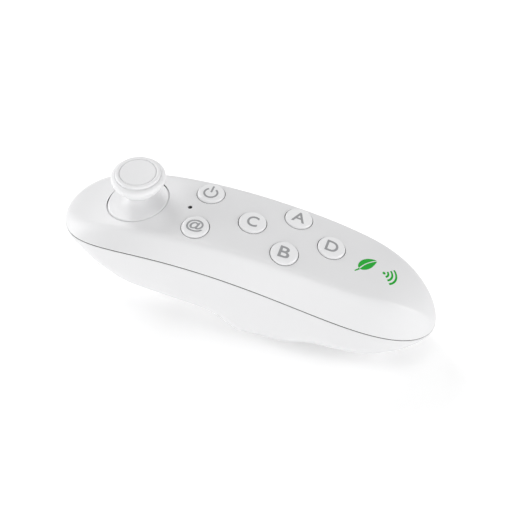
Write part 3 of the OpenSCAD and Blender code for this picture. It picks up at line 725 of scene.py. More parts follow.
def close_tree(tree, geometry, material, x, y=0):
    """Ends a tree: instances made real, the material, and the output."""
    real = add(tree, "GeometryNodeRealizeInstances", {"Geometry": geometry}, location=(x, y))
    last = add(tree, "GeometryNodeSetMaterial",
               {"Geometry": real.outputs["Geometry"], "Material": material},
               location=(x + 200, y))
    out = add(tree, "NodeGroupOutput", location=(x + 400, y))
    tree.links.new(last.outputs["Geometry"], out.inputs[0])
    return tree


def maths(tree, operation, place, *values):
    """A math node's output; each value is a number or the output of another node."""
    node = add(tree, "ShaderNodeMath", location=place, operation=operation)
    for socket, value in zip(node.inputs, values):
        if isinstance(value, float):
            socket.default_value = value
        else:
            tree.links.new(value, socket)
    return node.outputs[0]


def rib_tree():
    """A row of round-backed ribs along X, each a bar across the body."""
    tree = tree_with("Grip ribs", {
        "Count": ("NodeSocketInt", 5), "Start": ("NodeSocketVector", (0, 0, 0)),
        "Pitch": ("NodeSocketFloat", .0018),
        "Length": ("NodeSocketFloat", .01), "Radius": ("NodeSocketFloat", .0004),
        "Taper": ("NodeSocketFloat", 0.0), "Material": ("NodeSocketMaterial", None)})
    i = add(tree, "NodeGroupInput", location=(-900, 0))
    offset = add(tree, "ShaderNodeCombineXYZ", {"X": i.outputs["Pitch"]}, location=(-700, 200))
    row = add(tree, "GeometryNodeMeshLine", {"Count": i.outputs["Count"],
                                             "Start Location": i.outputs["Start"],
                                             "Offset": offset.outputs["Vector"]}, location=(-500, 200))
    half = maths(tree, "MULTIPLY", (-700, -100), i.outputs["Length"], 0.5)
    back = maths(tree, "MULTIPLY", (-500, -250), half, -1.0)
    start = add(tree, "ShaderNodeCombineXYZ", {"Y": back}, location=(-350, -250))
    end = add(tree, "ShaderNodeCombineXYZ", {"Y": half}, location=(-350, -100))
    line = add(tree, "GeometryNodeCurvePrimitiveLine", {"Start": start.outputs["Vector"],
                                                        "End": end.outputs["Vector"]},
                                                        location=(-200, -150))
    fine = add(tree, "GeometryNodeResampleCurve", {"Curve": line.outputs["Curve"]}, location=(-50, -150),
               Count=24)
    # the ends of a rib narrow to a point, so that it runs out into the face
    share = add(tree, "GeometryNodeSplineParameter", location=(-50, -400))
    wave = add(tree, "ShaderNodeMapRange", {"Value": share.outputs["Factor"]}, location=(100, -400),
               From_Min=0.0, From_Max=1.0, To_Min=0.0, To_Max=math.pi)
    sine = maths(tree, "SINE", (250, -400), wave.outputs["Result"])
    root = maths(tree, "POWER", (400, -400), sine, 0.35)
    sized = maths(tree, "MAXIMUM", (550, -400), root, 0.05)
    ring = add(tree, "GeometryNodeCurvePrimitiveCircle", {"Radius": i.outputs["Radius"]},
               location=(100, -50),
               Resolution=12)
    bar = add(tree, "GeometryNodeCurveToMesh", {"Curve": fine.outputs["Curve"],
                                                "Profile Curve": ring.outputs["Curve"],
                                                "Scale": sized}, location=(250, -100), Fill_Caps=True)
    number = add(tree, "GeometryNodeInputIndex", location=(0, 300))
    step = maths(tree, "MULTIPLY", (150, 300), number.outputs[0], i.outputs["Taper"])
    width = maths(tree, "SUBTRACT", (300, 300), 1.0, step)
    scale = add(tree, "ShaderNodeCombineXYZ", {"Y": width}, location=(450, 300), X=1.0, Z=1.0)
    dots = add(tree, "GeometryNodeInstanceOnPoints", {"Points": row.outputs["Mesh"],
                                                      "Instance": bar.outputs["Mesh"],
                                                      "Scale": scale.outputs["Vector"]},
                                                      location=(600, 100))
    return close_tree(tree, dots.outputs["Instances"], i.outputs["Material"], 800, 100)


def belly_ribs(name, shape, lift, inputs):
    """A row of ribs laid on the belly, with their axes this far inside it."""
    ribs = grow(name, rib_tree(), inputs)
    for v in ribs.data.vertices:
        v.co.z = v.co.z + (float(shape.low(v.co.x / MM, v.co.y / MM)) + lift) * MM
    ribs.data.update()
    return ribs


def screw_tree():
    """Copies a screw, point up, to the given ends of a row: two along X at each of two places."""
    tree = tree_with("Screws", {
        "Screw": ("NodeSocketObject", None), "First": ("NodeSocketVector", (0, 0, 0)),
        "Step": ("NodeSocketVector", (0, .02, 0)), "Count": ("NodeSocketInt", 2),
        "Turn": ("NodeSocketFloat", .6), "Material": ("NodeSocketMaterial", None)})
    i = add(tree, "NodeGroupInput", location=(-900, 0))
    row = add(tree, "GeometryNodeMeshLine", {"Count": i.outputs["Count"],
                                             "Start Location": i.outputs["First"],
                                             "Offset": i.outputs["Step"]}, location=(-600, 200))
    one = add(tree, "GeometryNodeObjectInfo", {"Object": i.outputs["Screw"]}, location=(-600, -100))
    number = add(tree, "GeometryNodeInputIndex", location=(-600, -300))
    angle = maths(tree, "MULTIPLY", (-400, -300), number.outputs[0], i.outputs["Turn"])
    spin = add(tree, "ShaderNodeCombineXYZ", {"Z": angle}, location=(-250, -300))
    put = add(tree, "GeometryNodeInstanceOnPoints", {"Points": row.outputs["Mesh"],
                                                     "Instance": one.outputs["Geometry"],
                                                     "Rotation": spin.outputs["Vector"]},
                                                     location=(-100, 100))
    return close_tree(tree, put.outputs["Instances"], i.outputs["Material"], 100, 100)


def spring_tree():
    """A conical wire spring along X."""
    tree = tree_with("Contact spring", {
        "Turns": ("NodeSocketFloat", 3.0), "Long": ("NodeSocketFloat", .002),
        "Wide": ("NodeSocketFloat", .003),
        "Narrow": ("NodeSocketFloat", .002), "Wire": ("NodeSocketFloat", .00024),
        "Material": ("NodeSocketMaterial", None)})
    i = add(tree, "NodeGroupInput", location=(-900, 0))
    coil = add(tree, "GeometryNodeCurveSpiral", {"Rotations": i.outputs["Turns"],
                                                 "Start Radius": i.outputs["Wide"],
                                                 "End Radius": i.outputs["Narrow"],
                                                 "Height": i.outputs["Long"]},
               location=(-600, 100), Resolution=40)
    ring = add(tree, "GeometryNodeCurvePrimitiveCircle", {"Radius": i.outputs["Wire"]},
               location=(-600, -200),
               Resolution=10)
    tube = add(tree, "GeometryNodeCurveToMesh", {"Curve": coil.outputs["Curve"],
                                                 "Profile Curve": ring.outputs["Curve"]},
                                                 location=(-300, 0),
               Fill_Caps=True)
    return close_tree(tree, tube.outputs["Mesh"], i.outputs["Material"], -100)


# ---------------------------------------------------------------- places shared by several pieces

KEY_PLACES = {"power": (-17.0, 8.5), "at_sign": (-17.0, -8.5), "c": (1.0, 0.0), "a": (15.1, 8.7),
              "b": (15.1, -8.7), "d": (29.2, 0.9)}
WINDOW = (-21.8, 0.0)
CASE_SCREWS = ((-28, 14.4, 20.5), (-28, -14.4, 20.5), (57, 6.5, 11.2), (57, -6.5, 11.2))
UPPER_HINGE = (-57.5, 31.0)
LOWER_HINGE_X, HINGE_LIFT = -45.6, 4.2
# the triggers' hinge ears: outer radius, bore radius, middle and half thickness across the body
EAR_R, EAR_BORE, EAR_Y, EAR_HALF = 1.9, 1.06, 7.5, 1.5
# the screw wells and posts: well, bore and post radius
WELL_R, BORE_R, POST_R = 2.7, 1.4, 2.9


def tilt_centre(scene, shape):
    s = scene.controller_stick
    depth, x = s.pivot / MM, s.place / MM
    return Vector((x + depth * math.sin(s.lean), 0, float(shape.top(x, 0)) - depth * math.cos(s.lean)))


class Maker:
    """What every operator of this add-on shares."""
    bl_options = {"REGISTER", "UNDO"}

    def execute(self, context):
        self.make(context.scene, Shape(context.scene))
        return {"FINISHED"}


class CONTROLLER_OT_upper_shell(Maker, bpy.types.Operator):
    """Moulds the upper shell with its key holes, window and stick opening"""
    bl_idname = "controller.upper_shell"
    bl_label = "Upper shell"

    def make(self, scene, shape):
        keys, stick = scene.controller_keys, scene.controller_stick
        verts, faces = shape.shell(True)
        shell = piece("upper_case", verts, faces, case_plastic(), merge=1e-3, turn=False)
        tools = []
        hole = (keys.across / 2 + keys.gap) / MM
        for name, (x, y) in KEY_PLACES.items():
            tools.append(lathe("hole_" + name, [(0, -4), (hole, -4), (hole, 4), (0, 4)], None,
                               shape.on_top(x, y), 72))
        w = keys.window / 2 / MM
        tools.append(lathe("hole_window", [(0, -4), (w, -4), (w, 4), (0, 4)], None, shape.on_top(*WINDOW),
                           32))
        ball = math.hypot(stick.skirt / 2, stick.pivot) / MM + stick.clearance / MM
        a = np.linspace(-math.pi / 2, math.pi / 2, 61)
        tools.append(lathe("hole_stick", [(ball * math.cos(t) if 0 < k < 60 else 0, ball * math.sin(t))
                                          for k, t in enumerate(a)], None,
                           Matrix.Translation(tilt_centre(scene, shape)), 128))
        cut(shell, tools)
        settle(shell, "case", "white_shell", "upper_shell")


class CONTROLLER_OT_lower_shell(Maker, bpy.types.Operator):
    """Moulds the lower shell with its battery and trigger openings, ribs and screw wells"""
    bl_idname = "controller.lower_shell"
    bl_label = "Lower shell"

    def make(self, scene, shape):
        door, trig = scene.controller_door, scene.controller_triggers
        verts, faces = shape.shell(False)
        shell = piece("lower_case", verts, faces, case_plastic(), merge=1e-3, turn=False)
        g, h = door.gap / MM, door.half / MM
        tools = [box_tool("hole_door", (door.front / MM - g, -h - g, -1), (door.rear / MM + g, h + g, 15))]
        g, h = trig.gap / MM, trig.half / MM
        tools.append(box_tool("hole_triggers", (trig.front / MM - g, -h - g, 5),
                              (trig.rear / MM + g, h + g, 40)))
        for x, y, z in CASE_SCREWS:
            well = rounded([(0, -1), (WELL_R, -1), (WELL_R, z), (BORE_R, z), (BORE_R, 60), (0, 60)], .05)
            tools.append(lathe("well", well, None, Matrix.Translation((x, y, 0)), 48))
        cut(shell, tools)
        parts = [shell]
        for x, y, z in CASE_SCREWS:
            around = [(x + POST_R * math.cos(t), y + POST_R * math.sin(t))
                      for t in np.linspace(0, 2 * math.pi, 24)]
            foot = max(float(shape.low(a, b)) for a, b in around) + 0.8
            top = float(shape.part(x)) - 0.1
            post = [(BORE_R, z), (BORE_R, top), (POST_R, top), (POST_R, foot), (WELL_R, foot), (WELL_R, z),
                    (BORE_R, z)]
            parts.append(lathe("post", post, case_plastic(), Matrix.Translation((x, y, 0)), 48))
        for side in (1, -1):
            y0 = side * (h + 1.2)
            xs = [-59.8, -58.6, -57.4, -56, -54, -52, -50, -48, -46, -44, -42.6]
            low = [(x, float(shape.low(x, h + 1.6)) + 0.9) for x in xs]
            up = [(-42.6, 22), (-47, 24), (-50.5, 27.5), (-53.2, 27.7), (-55.2, 32.5), (-57.6, 32.5),
                  (-59.8, 31.5)]
            ring = low + up
            ends = [[(x, y, z) for x, z in ring] for y in (y0 - .6, y0 + .6)]
            parts.append(piece("rib", *prism(*ends, flip=True), case_plastic()))
        settle(join("lower_case", parts), "case", "white_shell", "lower_shell")


class CONTROLLER_OT_seam_shade_liner(Maker, bpy.types.Operator):
    """Adds a dark grey lip inside the seam, painted shade that shows as the dark line along the seam"""
    bl_idname = "controller.seam_liner"
    bl_label = "Seam shade liner"

    def make(self, scene, shape):
        xs = shape.stations(160)
        rows = []
        for inset, lift in ((.07, -.14), (.07, .14), (1.4, .14), (1.4, -.14)):
            x = xs * (shape.hl - 2 * inset) / shape.hl
            w = shape.half(xs) * (shape.hw - inset) / shape.hw
            side = np.stack([x, w, shape.part(x) + lift], -1)
            rows.append(np.concatenate([side, (side * [1, -1, 1])[-2:0:-1]]))
        n = len(rows[0])
        verts, faces = np.concatenate(rows), []
        for k in range(4):
            a, b = k * n, (k + 1) % 4 * n
            faces += [(a + j, a + (j + 1) % n, b + (j + 1) % n, b + j) for j in range(n)]
        # the lip's dark grey is painted shade: it stands in for the shadow in the seam gap
        shade_liner = piece("seam_liner", verts, faces, painted_gap_shade())
        settle(shade_liner, "case", "white_shell")


class CONTROLLER_OT_battery_door(Maker, bpy.types.Operator):
    """Moulds the battery door with its thumb ribs, tongue and inner rails"""
    bl_idname = "controller.battery_door"
    bl_label = "Battery door"

    def make(self, scene, shape):
        d = scene.controller_door
        x0, x1, h = d.front / MM, d.rear / MM, d.half / MM
        lid = patch("door_lid", shape, x0, x1, h, d.skin / MM, case_plastic(), nx=110, ny=60)
        parts = [lid]
        tongue = float(shape.low(x0, 3)) + 0.8
        cell_low = (d.cell_z - d.cell / 2) / MM
        for low, high in (((x0 + .25, -3, tongue), (x0 + .9, 3, tongue + 4.4)),
                          ((24, -6, float(shape.low(24, 0)) + 1), (32, -4.8, cell_low - .3)),
                          ((24, 4.8, float(shape.low(24, 0)) + 1), (32, 6, cell_low - .3))):
            parts.append(block("rail", low, high, .15, case_plastic()))
        parts.append(belly_ribs("door_ribs", shape, .08, {
            "Count": d.ribs, "Start": (x1 * MM - .0152, 0, 0), "Pitch": .0019, "Length": .0135,
            "Radius": .00042, "Taper": .085, "Material": case_plastic()}))
        settle(join("battery_door", parts), "battery_door", "white_shell", "battery_door")


class CONTROLLER_OT_triggers(Maker, bpy.types.Operator):
    """Moulds the two index triggers with their hinge ears"""
    bl_idname = "controller.triggers"
    bl_label = "Triggers"

    def make(self, scene, shape):
        t = scene.controller_triggers
        h, skin, gap = t.half / MM, t.skin / MM, t.between / MM / 2
        hinge_z = float(shape.low(LOWER_HINGE_X, 0)) + HINGE_LIFT
        spans = {"upper_trigger": (t.front / MM, t.split / MM - gap, UPPER_HINGE[0], UPPER_HINGE[1], 3.4),
                 "lower_trigger": (t.split / MM + gap, t.rear / MM, LOWER_HINGE_X, hinge_z, 2.5)}
        for name, (x0, x1, hx, hz, drop) in spans.items():
            parts = [patch(name, shape, x0, x1, h, skin, trigger_plastic(), corner=1.5, edge=.45, nx=40,
                           ny=50)]
            for side in (-1, 1):
                outline = [(hx + EAR_R * math.cos(k),
                            hz + EAR_R * math.sin(k)) for k in np.linspace(0, math.pi, 17)]
                outline += [(hx - EAR_R, hz - drop), (hx + EAR_R, hz - drop)]
                hole = [(hx + EAR_BORE * math.cos(k), hz + EAR_BORE * math.sin(k))
                        for k in np.linspace(0, 2 * math.pi, 33)[:-1]]
                ys = (side * EAR_Y - EAR_HALF, side * EAR_Y + EAR_HALF)
                ends = [[(x, y, z) for x, z in outline] for y in ys]
                ear = piece("ear", *prism(*ends, flip=True), trigger_plastic())
                ends = [[(x, y, z) for x, z in hole] for y in (ys[0] - 1, ys[1] + 1)]
                parts.append(cut(ear, [piece("bore", *prism(*ends, flip=True), None)]))
            low = (-55.8, 3, 25.0, -50.0, 7, 26.0) if name == "upper_trigger" else (
                -49.5, -7, float(shape.low(-49.5, 4)) + 1.2, -46.5, -4, 26.1)
            arm = [(x, y, z) for x in (low[0], low[3]) for y in (low[1], low[4]) for z in (low[2], low[5])]
            parts.append(piece("arm", arm, [(0, 1, 3, 2), (4, 6, 7, 5), (0, 4, 5, 1), (2, 3, 7, 6),
                                            (0, 2, 6, 4),
                                            (1, 5, 7, 3)], trigger_plastic()))
            if name == "lower_trigger" and t.ribs:
                parts.append(belly_ribs("trigger_ribs", shape, .12, {
                    "Count": t.ribs, "Start": (-.0510, 0, 0), "Pitch": .0017, "Length": .012,
                    "Radius": .0003, "Taper": 0.0, "Material": trigger_plastic()}))
            settle(join(name, parts), name, "white_trigger", name)


class CONTROLLER_OT_keys(Maker, bpy.types.Operator):
    """Moulds the six round keys and sets dark grey shrouds in the gaps round them as painted shade"""
    bl_idname = "controller.keys"
    bl_label = "Keys"

    def make(self, scene, shape):
        k = scene.controller_keys
        r, p = k.across / 2 / MM, k.proud / MM
        foot = -shape.wall - k.travel / MM
        edge = [(r - .9 + .9 * math.sin(a), p - .12 - .74 * (1 - math.cos(a)))
                for a in np.linspace(.15, math.pi / 2, 10)]
        lim = 0.645 * shape.hw
        for name, (x, y) in KEY_PLACES.items():
            place = shape.on_top(x, y)
            profile = [(0, p - .02), (r * .3, p - .025), (r * .6, p - .06), (r - 1.15, p - .095)] + edge
            profile += [(r, foot - .85), (r - .05, foot - .9), (0, foot - .9)]
            body = lathe("key_body", profile, key_plastic(), place, 96, 40)
            flange = lathe("flange", [(r - .5, foot - .1), (r + 1, foot - .1), (r + 1, foot - .9),
                                      (r - .5, foot - .9),
                                      (r - .5, foot - .1)], key_plastic(), place, 96, 40)
            cut(flange, [box_tool("trim", (-70, -lim, 0), (70, lim, 80))], "INTERSECT", 40)
            settle(join("key_" + name, [body, flange]), "key_" + name, "white_key", "key_" + name)
            hole = (k.across / 2 + k.gap) / MM
            # the shroud's dark grey is painted shade for the shadow in the gap round the key
            gap_shade = lathe("key_shroud_" + name, [(r + .04, -.1), (hole - .02, -.1), (hole - .02, -1.2),
                                                  (r + .04, -1.2), (r + .04, -.1)], painted_gap_shade(), place,
                                                  96, 40)
            settle(gap_shade, "case", "white_shell")


def symbol_power(size, stroke):
    """The open ring and bar of a power symbol, as flat outlines."""
    ring, r = [], size * .43
    a = np.radians(np.linspace(90 + 34, 450 - 34, 49))
    ring += [((r + stroke / 2) * math.cos(t), (r + stroke / 2) * math.sin(t)) for t in a]
    ring += [((r - stroke / 2) * math.cos(t), (r - stroke / 2) * math.sin(t)) for t in a[::-1]]
    bar = [(-stroke / 2, size * .06), (stroke / 2, size * .06), (stroke / 2, size * .66),
           (-stroke / 2, size * .66)]
    return [ring, bar]


def plates(outlines, thick):
    """Flat plates of the given thickness from outlines, top at z = 0."""
    bm = bmesh.new()
    for line in outlines:
        n = len(line)
        if n > 8:
            half = n // 2
            top = [bm.verts.new((x, y, 0)) for x, y in line]
            low = [bm.verts.new((x, y, -thick)) for x, y in line]
            for k in range(half - 1):
                a, b, c, d = k, k + 1, n - 2 - k, n - 1 - k
                bm.faces.new([top[a], top[b], top[c], top[d]])
                bm.faces.new([low[d], low[c], low[b], low[a]])
        else:
            top = [bm.verts.new((x, y, 0)) for x, y in line]
            low = [bm.verts.new((x, y, -thick)) for x, y in line]
            bm.faces.new(top)
            bm.faces.new(low[::-1])
        for k in range(n):
            m = (k + 1) % n
            bm.faces.new([top[k], low[k], low[m], top[m]])
    verts = [tuple(v.co) for v in bm.verts]
    bm.verts.index_update()
    faces = [[v.index for v in f.verts] for f in bm.faces]
    bm.free()
    return verts, faces


class CONTROLLER_OT_key_print(Maker, bpy.types.Operator):
    """Prints a letter or symbol on each key"""
    bl_idname = "controller.key_print"
    bl_label = "Key print"

    def make(self, scene, shape):
        k = scene.controller_keys
        size, top = k.letter / MM, k.proud / MM
        for name, (x, y) in KEY_PLACES.items():
            if name == "power":
                verts, faces = plates(symbol_power(size * 1.2, k.stroke / MM), .06)
                place = shape.on_top(x, y) @ Matrix.Translation((0, -.3, top + .012))
                ink = piece("print_" + name, verts, faces, key_print(), place)
            else:
                text = bpy.data.curves.new("text", "FONT")
                text.body = "@" if name == "at_sign" else name.upper()
                text.size, text.extrude, text.resolution_u = 1.0, 0.02, 6
                text.offset = .012
                thing = bpy.data.objects.new("text", text)
                bpy.context.collection.objects.link(thing)
                bpy.context.view_layer.update()
                mesh = bpy.data.meshes.new_from_object(thing.evaluated_get(bpy.context.evaluated_depsgraph_get()))
                co = np.array([v.co for v in mesh.vertices])
                low, high = co.min(0), co.max(0)
                tall = size * (1.18 if name == "at_sign" else 1.06)
                wide = {"at_sign": 1.16, "c": .92, "a": .98, "b": 1.18, "d": 1.0}[name]
                s = tall / (high[1] - low[1])
                flat = [((c[0] - (low[0] + high[0]) / 2) * s * wide, (c[1] - (low[1] + high[1]) / 2) * s,
                         (.02 if c[2] > 0 else -.05) + top) for c in co]
                ink = piece("print_" + name, flat, [list(p.vertices) for p in mesh.polygons], key_print(),
                            shape.on_top(x, y))
                bpy.data.objects.remove(thing)
                bpy.data.curves.remove(text)
                bpy.data.meshes.remove(mesh)
            settle(ink, "key_" + name, "white_key")


class CONTROLLER_OT_window(Maker, bpy.types.Operator):
    """Sets the smoked window of the indicator light"""
    bl_idname = "controller.window"
    bl_label = "Indicator window"

    def make(self, scene, shape):
        r = scene.controller_keys.window / 2 / MM - .05
        profile = [(0, .1), (r * .5, .08), (r * .85, 0), (r, -.15), (r, -2.2), (1.5, -2.2), (1.5, -4.6),
                   (0, -4.6)]
        lens = lathe("indicator_window", profile, window_acrylic(), shape.on_top(*WINDOW), 32, 50)
        settle(lens, "case", "dark_lens", "led_lens")


class CONTROLLER_OT_thumb_stick(Maker, bpy.types.Operator):
    """Turns the thumb stick's cap, dished pad and skirt"""
    bl_idname = "controller.thumb_stick"
    bl_label = "Thumb stick"

    def make(self, scene, shape):
        s = scene.controller_stick
        centre = tilt_centre(scene, shape)
        depth, rim = s.pivot / MM, s.skirt / 2 / MM
        top = float(shape.top(s.place / MM, 0)) - centre.z + s.rise / MM
        big = s.cap / 2 / MM
        rest = Matrix.Translation(centre) @ Matrix.Rotation(-s.rest, 4, "Y")
        neck = depth + 2.6 + 3.4 * math.sin(abs(s.lean - s.rest))
        outline = [(2.0, neck), (3.2, neck), (3.2, top - 9.75), (3.7, top - 9.45), (4.6, top - 9.05),
                   (6.0, top - 8.15), (big - 2.7, top - 7.1), (big - 1.5, top - 5.6),
                   (big - .55, top - 4.2),
                   (big - .05, top - 3.1), (big, top - 2.4), (big - .2, top - 1.75), (big - .7, top - 1.25),
                   (8.3, top - 1.0)]
        ring = [(8.12, top - 1.04), (8.02, top - 1.16), (7.94, top - 1.04), (7.86, top - .3),
                (7.76, top - .1),
                (7.55, top - .01), (7.2, top), (6.8, top - .05), (6.58, top - .16), (6.5, top - .34),
                (6.5, top - 1.6), (2.0, top - 1.6), (2.0, neck)]
        cap = lathe("stick_cap", rounded(outline, .7, 7) + ring, stick_plastic(), rest, 160, 42)
        settle(cap, "stick", "white_key", "stick_cap")
        pad = [(0, top - .5)] + [(r, top - .5 + .34 * (r / 6.2) ** 2.2) for r in np.linspace(.6, 6.0, 12)]
        pad += [(6.2, top - .17), (6.34, top - .22), (6.4, top - .34), (6.4, top - 1.6), (0, top - 1.6)]
        disc = lathe("stick_pad", pad, pad_rubber(), rest, 160, 42)
        settle(disc, "stick", "pale_grey_pad", "stick_pad")
        ball = math.hypot(rim, depth)
        a = np.linspace(math.asin((depth - 3.9) / ball), math.asin((depth - .12) / ball), 14)
        wall = [(ball * math.cos(t), ball * math.sin(t)) for t in a]
        lip = [(rim - .05, depth + .04), (rim - .2, depth + .1), (rim - .45, depth + .12)]
        dish = [(rim - .55 - (rim - 3.95) * t, depth + .12 + 2.4 * t ** 2.4) for t in np.linspace(.03, 1,
                                                                                                  26)]
        under = [(2.05, depth + 2.52), (2.05, depth + 1.3)]
        under += [(rim - .55 - (rim - 3.95) * t,
                   depth - 1.08 + 2.4 * t ** 2.4) for t in np.linspace(.95, .1, 14)]
        inside = [(ball * math.cos(a[-1]) - 1.6, depth - 1.5),
                  (ball * math.cos(a[0]) - 1.3, ball * math.sin(a[0])),
                  wall[0]]
        skirt = lathe("stick_skirt", wall + lip + dish + under + inside, stick_plastic(),
                      Matrix.Translation(centre) @ Matrix.Rotation(-s.lean, 4, "Y"), 160, 42)
        settle(skirt, "stick", "white_key", "stick_skirt")


class CONTROLLER_OT_green_print(Maker, bpy.types.Operator):
    """Prints two plain green pictograms behind the last key: a leaf and a signal"""
    bl_idname = "controller.green_print"
    bl_label = "Green pictograms"

    def make(self, scene, shape):
        lines = []

        def band(points, widths):
            points, widths = np.array(points, float), np.array(widths, float)
            t = np.gradient(points, axis=0)
            n = np.stack([-t[:, 1], t[:, 0]], -1) / np.maximum(np.linalg.norm(t, axis=1), 1e-9)[:, None]
            a, b = points + n * widths[:, None] / 2, points - n * widths[:, None] / 2
            lines.append([tuple(p) for p in a] + [tuple(p) for p in b[::-1]])

        # leaf blade in two halves with a light rib between, and its stalk
        t = np.linspace(0, 1, 25)
        spine = np.stack([40.3 + 4.6 * t - 1.6 * t * (1 - t), -2.9 + 6.2 * t + 1.4 * t * (1 - t)], -1)
        side = np.stack([-np.gradient(spine[:, 1]), np.gradient(spine[:, 0])], -1)
        side /= np.linalg.norm(side, axis=1)[:, None]
        full = np.sin(math.pi * t ** .8) ** .8
        for s, wide in ((1, 1.7), (-1, 2.0)):
            band(spine + side * (s * (.17 + wide * full / 2))[:, None], wide * full + .02)
        stem = np.stack([40.4 - 1.3 * t, -3.0 - 1.6 * t], -1)
        band(stem, .6 - .2 * t)
        # three signal arcs and a dot
        for r in (1.6, 3.0, 4.4):
            a = np.radians(np.linspace(-50, 50, 25))
            band(np.stack([48.4 + r * np.cos(a), -.3 + r * np.sin(a)], -1), np.full(25, .7))
        a = np.radians(np.linspace(-90, 90, 25))
        lines.append([(48.5 + .55 * math.sin(k), -.3 + .55 * math.cos(k)) for k in a]
                     + [(48.5 + .55 * math.sin(k), -.3 - .55 * math.cos(k)) for k in a[::-1]])
        verts, faces = plates(lines, .05)
        verts = [(x, y, float(shape.top(x, y)) + shape.seam / 2 + z + .025) for x, y, z in verts]
        settle(piece("green_pictograms", verts, faces, green_print(), merge=1e-5), "case", "white_shell")


class CONTROLLER_OT_screws(Maker, bpy.types.Operator):
    """Copies a cross-recessed screw into the four wells of the lower shell"""
    bl_idname = "controller.screws"
    bl_label = "Case screws"

    def make(self, scene, shape):
        made = []
        tree = screw_tree()
        for row in (CASE_SCREWS[:2], CASE_SCREWS[2:]):
            x, y, z = row[0]
            tip = float(shape.part(x)) + 4.1
            body = [(0, z - 1.7), (1.0, z - 1.68), (1.9, z - 1.45), (2.3, z - 1.0), (2.35, z - .5),
                    (2.3, z - .02),
                    (1.2, z - .02)]
            thread = []
            k = z + .4
            while k < tip - 1.6:
                thread += [(1.02, k), (1.2, k + .18), (1.02, k + .36)]
                k += .55
            one = lathe("screw", body + thread + [(1.0, tip - 1.2), (0, tip)], screw_steel(), None, 32, 30)
            tools = []
            for a in (0, math.pi / 2):
                verts = [(sx * 1.25, sy * .24, zz) for zz, sx, sy in
                         [(z - 2.5, -1, -1), (z - 2.5, 1, -1), (z - 2.5, 1, 1), (z - 2.5, -1, 1)]]
                verts += [(sx * .35, sy * .2, z - .75) for sx, sy in ((-1, -1), (1, -1), (1, 1), (-1, 1))]
                tools.append(piece("slot", verts, [(0, 1, 2, 3), (4, 7, 6, 5), (0, 4, 5, 1), (1, 5, 6, 2),
                                                   (2, 6, 7, 3), (3, 7, 4, 0)], None,
                                                   Matrix.Rotation(a, 4, "Z")))
            cut(one, tools, sharp=30)
            made.append(grow("screws", tree, {"Screw": one, "First": (x * MM, y * MM, 0),
                                              "Step": (0, -2 * y * MM, 0), "Count": 2, "Turn": .7,
                                              "Material": screw_steel()}, 30))
            bpy.data.objects.remove(one)
        settle(join("case_screws", made), "case", "steel", "case_screws")


class CONTROLLER_OT_contact_spring(Maker, bpy.types.Operator):
    """Winds the spring contact at the far cell's negative end"""
    bl_idname = "controller.contact_spring"
    bl_label = "Contact spring"

    def make(self, scene, shape):
        d = scene.controller_door
        x0, x1, y, z = -.4 + d.cell_long / MM, 47.4 - 1.4, (d.cell / MM + .5) / 2, d.cell_z / MM
        coil = grow("coil", spring_tree(), {"Turns": 2.75, "Long": (x1 - x0 - .5) * MM, "Wide": .0021,
                                            "Narrow": .0030, "Wire": .00024, "Material": steel_plate()})
        coil.data.transform(Matrix.Translation(((x0 + .25) * MM, y * MM, z * MM))
                            @ Matrix.Rotation(math.pi / 2, 4, "Y"))
        leaf = block("leaf", (x1, 2.2, z - 3), (x1 + .4, 9.2, z + 3), .08, steel_plate())
        settle(join("contact_spring", [coil, leaf]), "case", "steel", "contact_negative")


class CONTROLLER_OT_inner_parts(Maker, bpy.types.Operator):
    """Gives each part inside the case its own finish"""
    bl_idname = "controller.inner_parts"
    bl_label = "Inner parts"

    def make(self, scene, shape):
        slots = {}
        for row in frame["record"].get("materials", []):
            if isinstance(row, dict):
                for node in row.get("nodes", []):
                    slots[node] = row.get("slot") or row.get("name")
        for name, obj in frame["nodes"].items():
            if obj.hide_render:
                continue
            old = obj.data.materials[0].name if obj.data.materials and obj.data.materials[0] else ""
            slot = slots.get(name, old)
            if name == "main_board":
                material = board_laminate()
            elif name.startswith("cell_"):
                material = cell_wrap()
            else:
                key = next((k for k in INNER if k in slot), None) or PART_FINISH.get(name)
                if key in INNER:
                    label, hexa, rough, grain, depth, metal = INNER[key]
                    material = finish(label, pair(tint(hexa), .05), rough, grain, depth, spread=6,
                                      Metallic=metal)
                else:
                    material = steel_plate()
            for k in range(max(1, len(obj.data.materials))):
                if k < len(obj.material_slots):
                    obj.material_slots[k].material = material
                else:
                    obj.data.materials.append(material)


# the stage, in metres: the camera's place, a matrix with its right, up and back axes as columns, and its
# lens and sensor in millimetres
CAMERA_PLACE = (0.125707, -0.383653, 0.452216)
CAMERA_AXES = ((0.953023, -0.220459, 0.207712), (0.302897, 0.694084, -0.653071),
               (-0.000194, 0.685307, 0.728255))
LENS, SENSOR = 115.28, 36.0
FLOOR_HALF, FLOOR_GLOW = 3.0, .186
WORLD_STRENGTH, LIGHT_AWAY = 0.31, 1.1
# each softbox: name, turn and height in degrees, size in metres, power in watts
SOFTBOXES = (("left softbox", -90, 15, .5, 4.2), ("rear left softbox", -132, 38, .4, 2.9),
             ("rear softbox", 180, 35, .5, .8), ("right softbox", 95, 20, .6, 5.3),
             ("front softbox", 0, 13, .6, 5.0), ("top softbox", 0, 88, .7, 2.2))


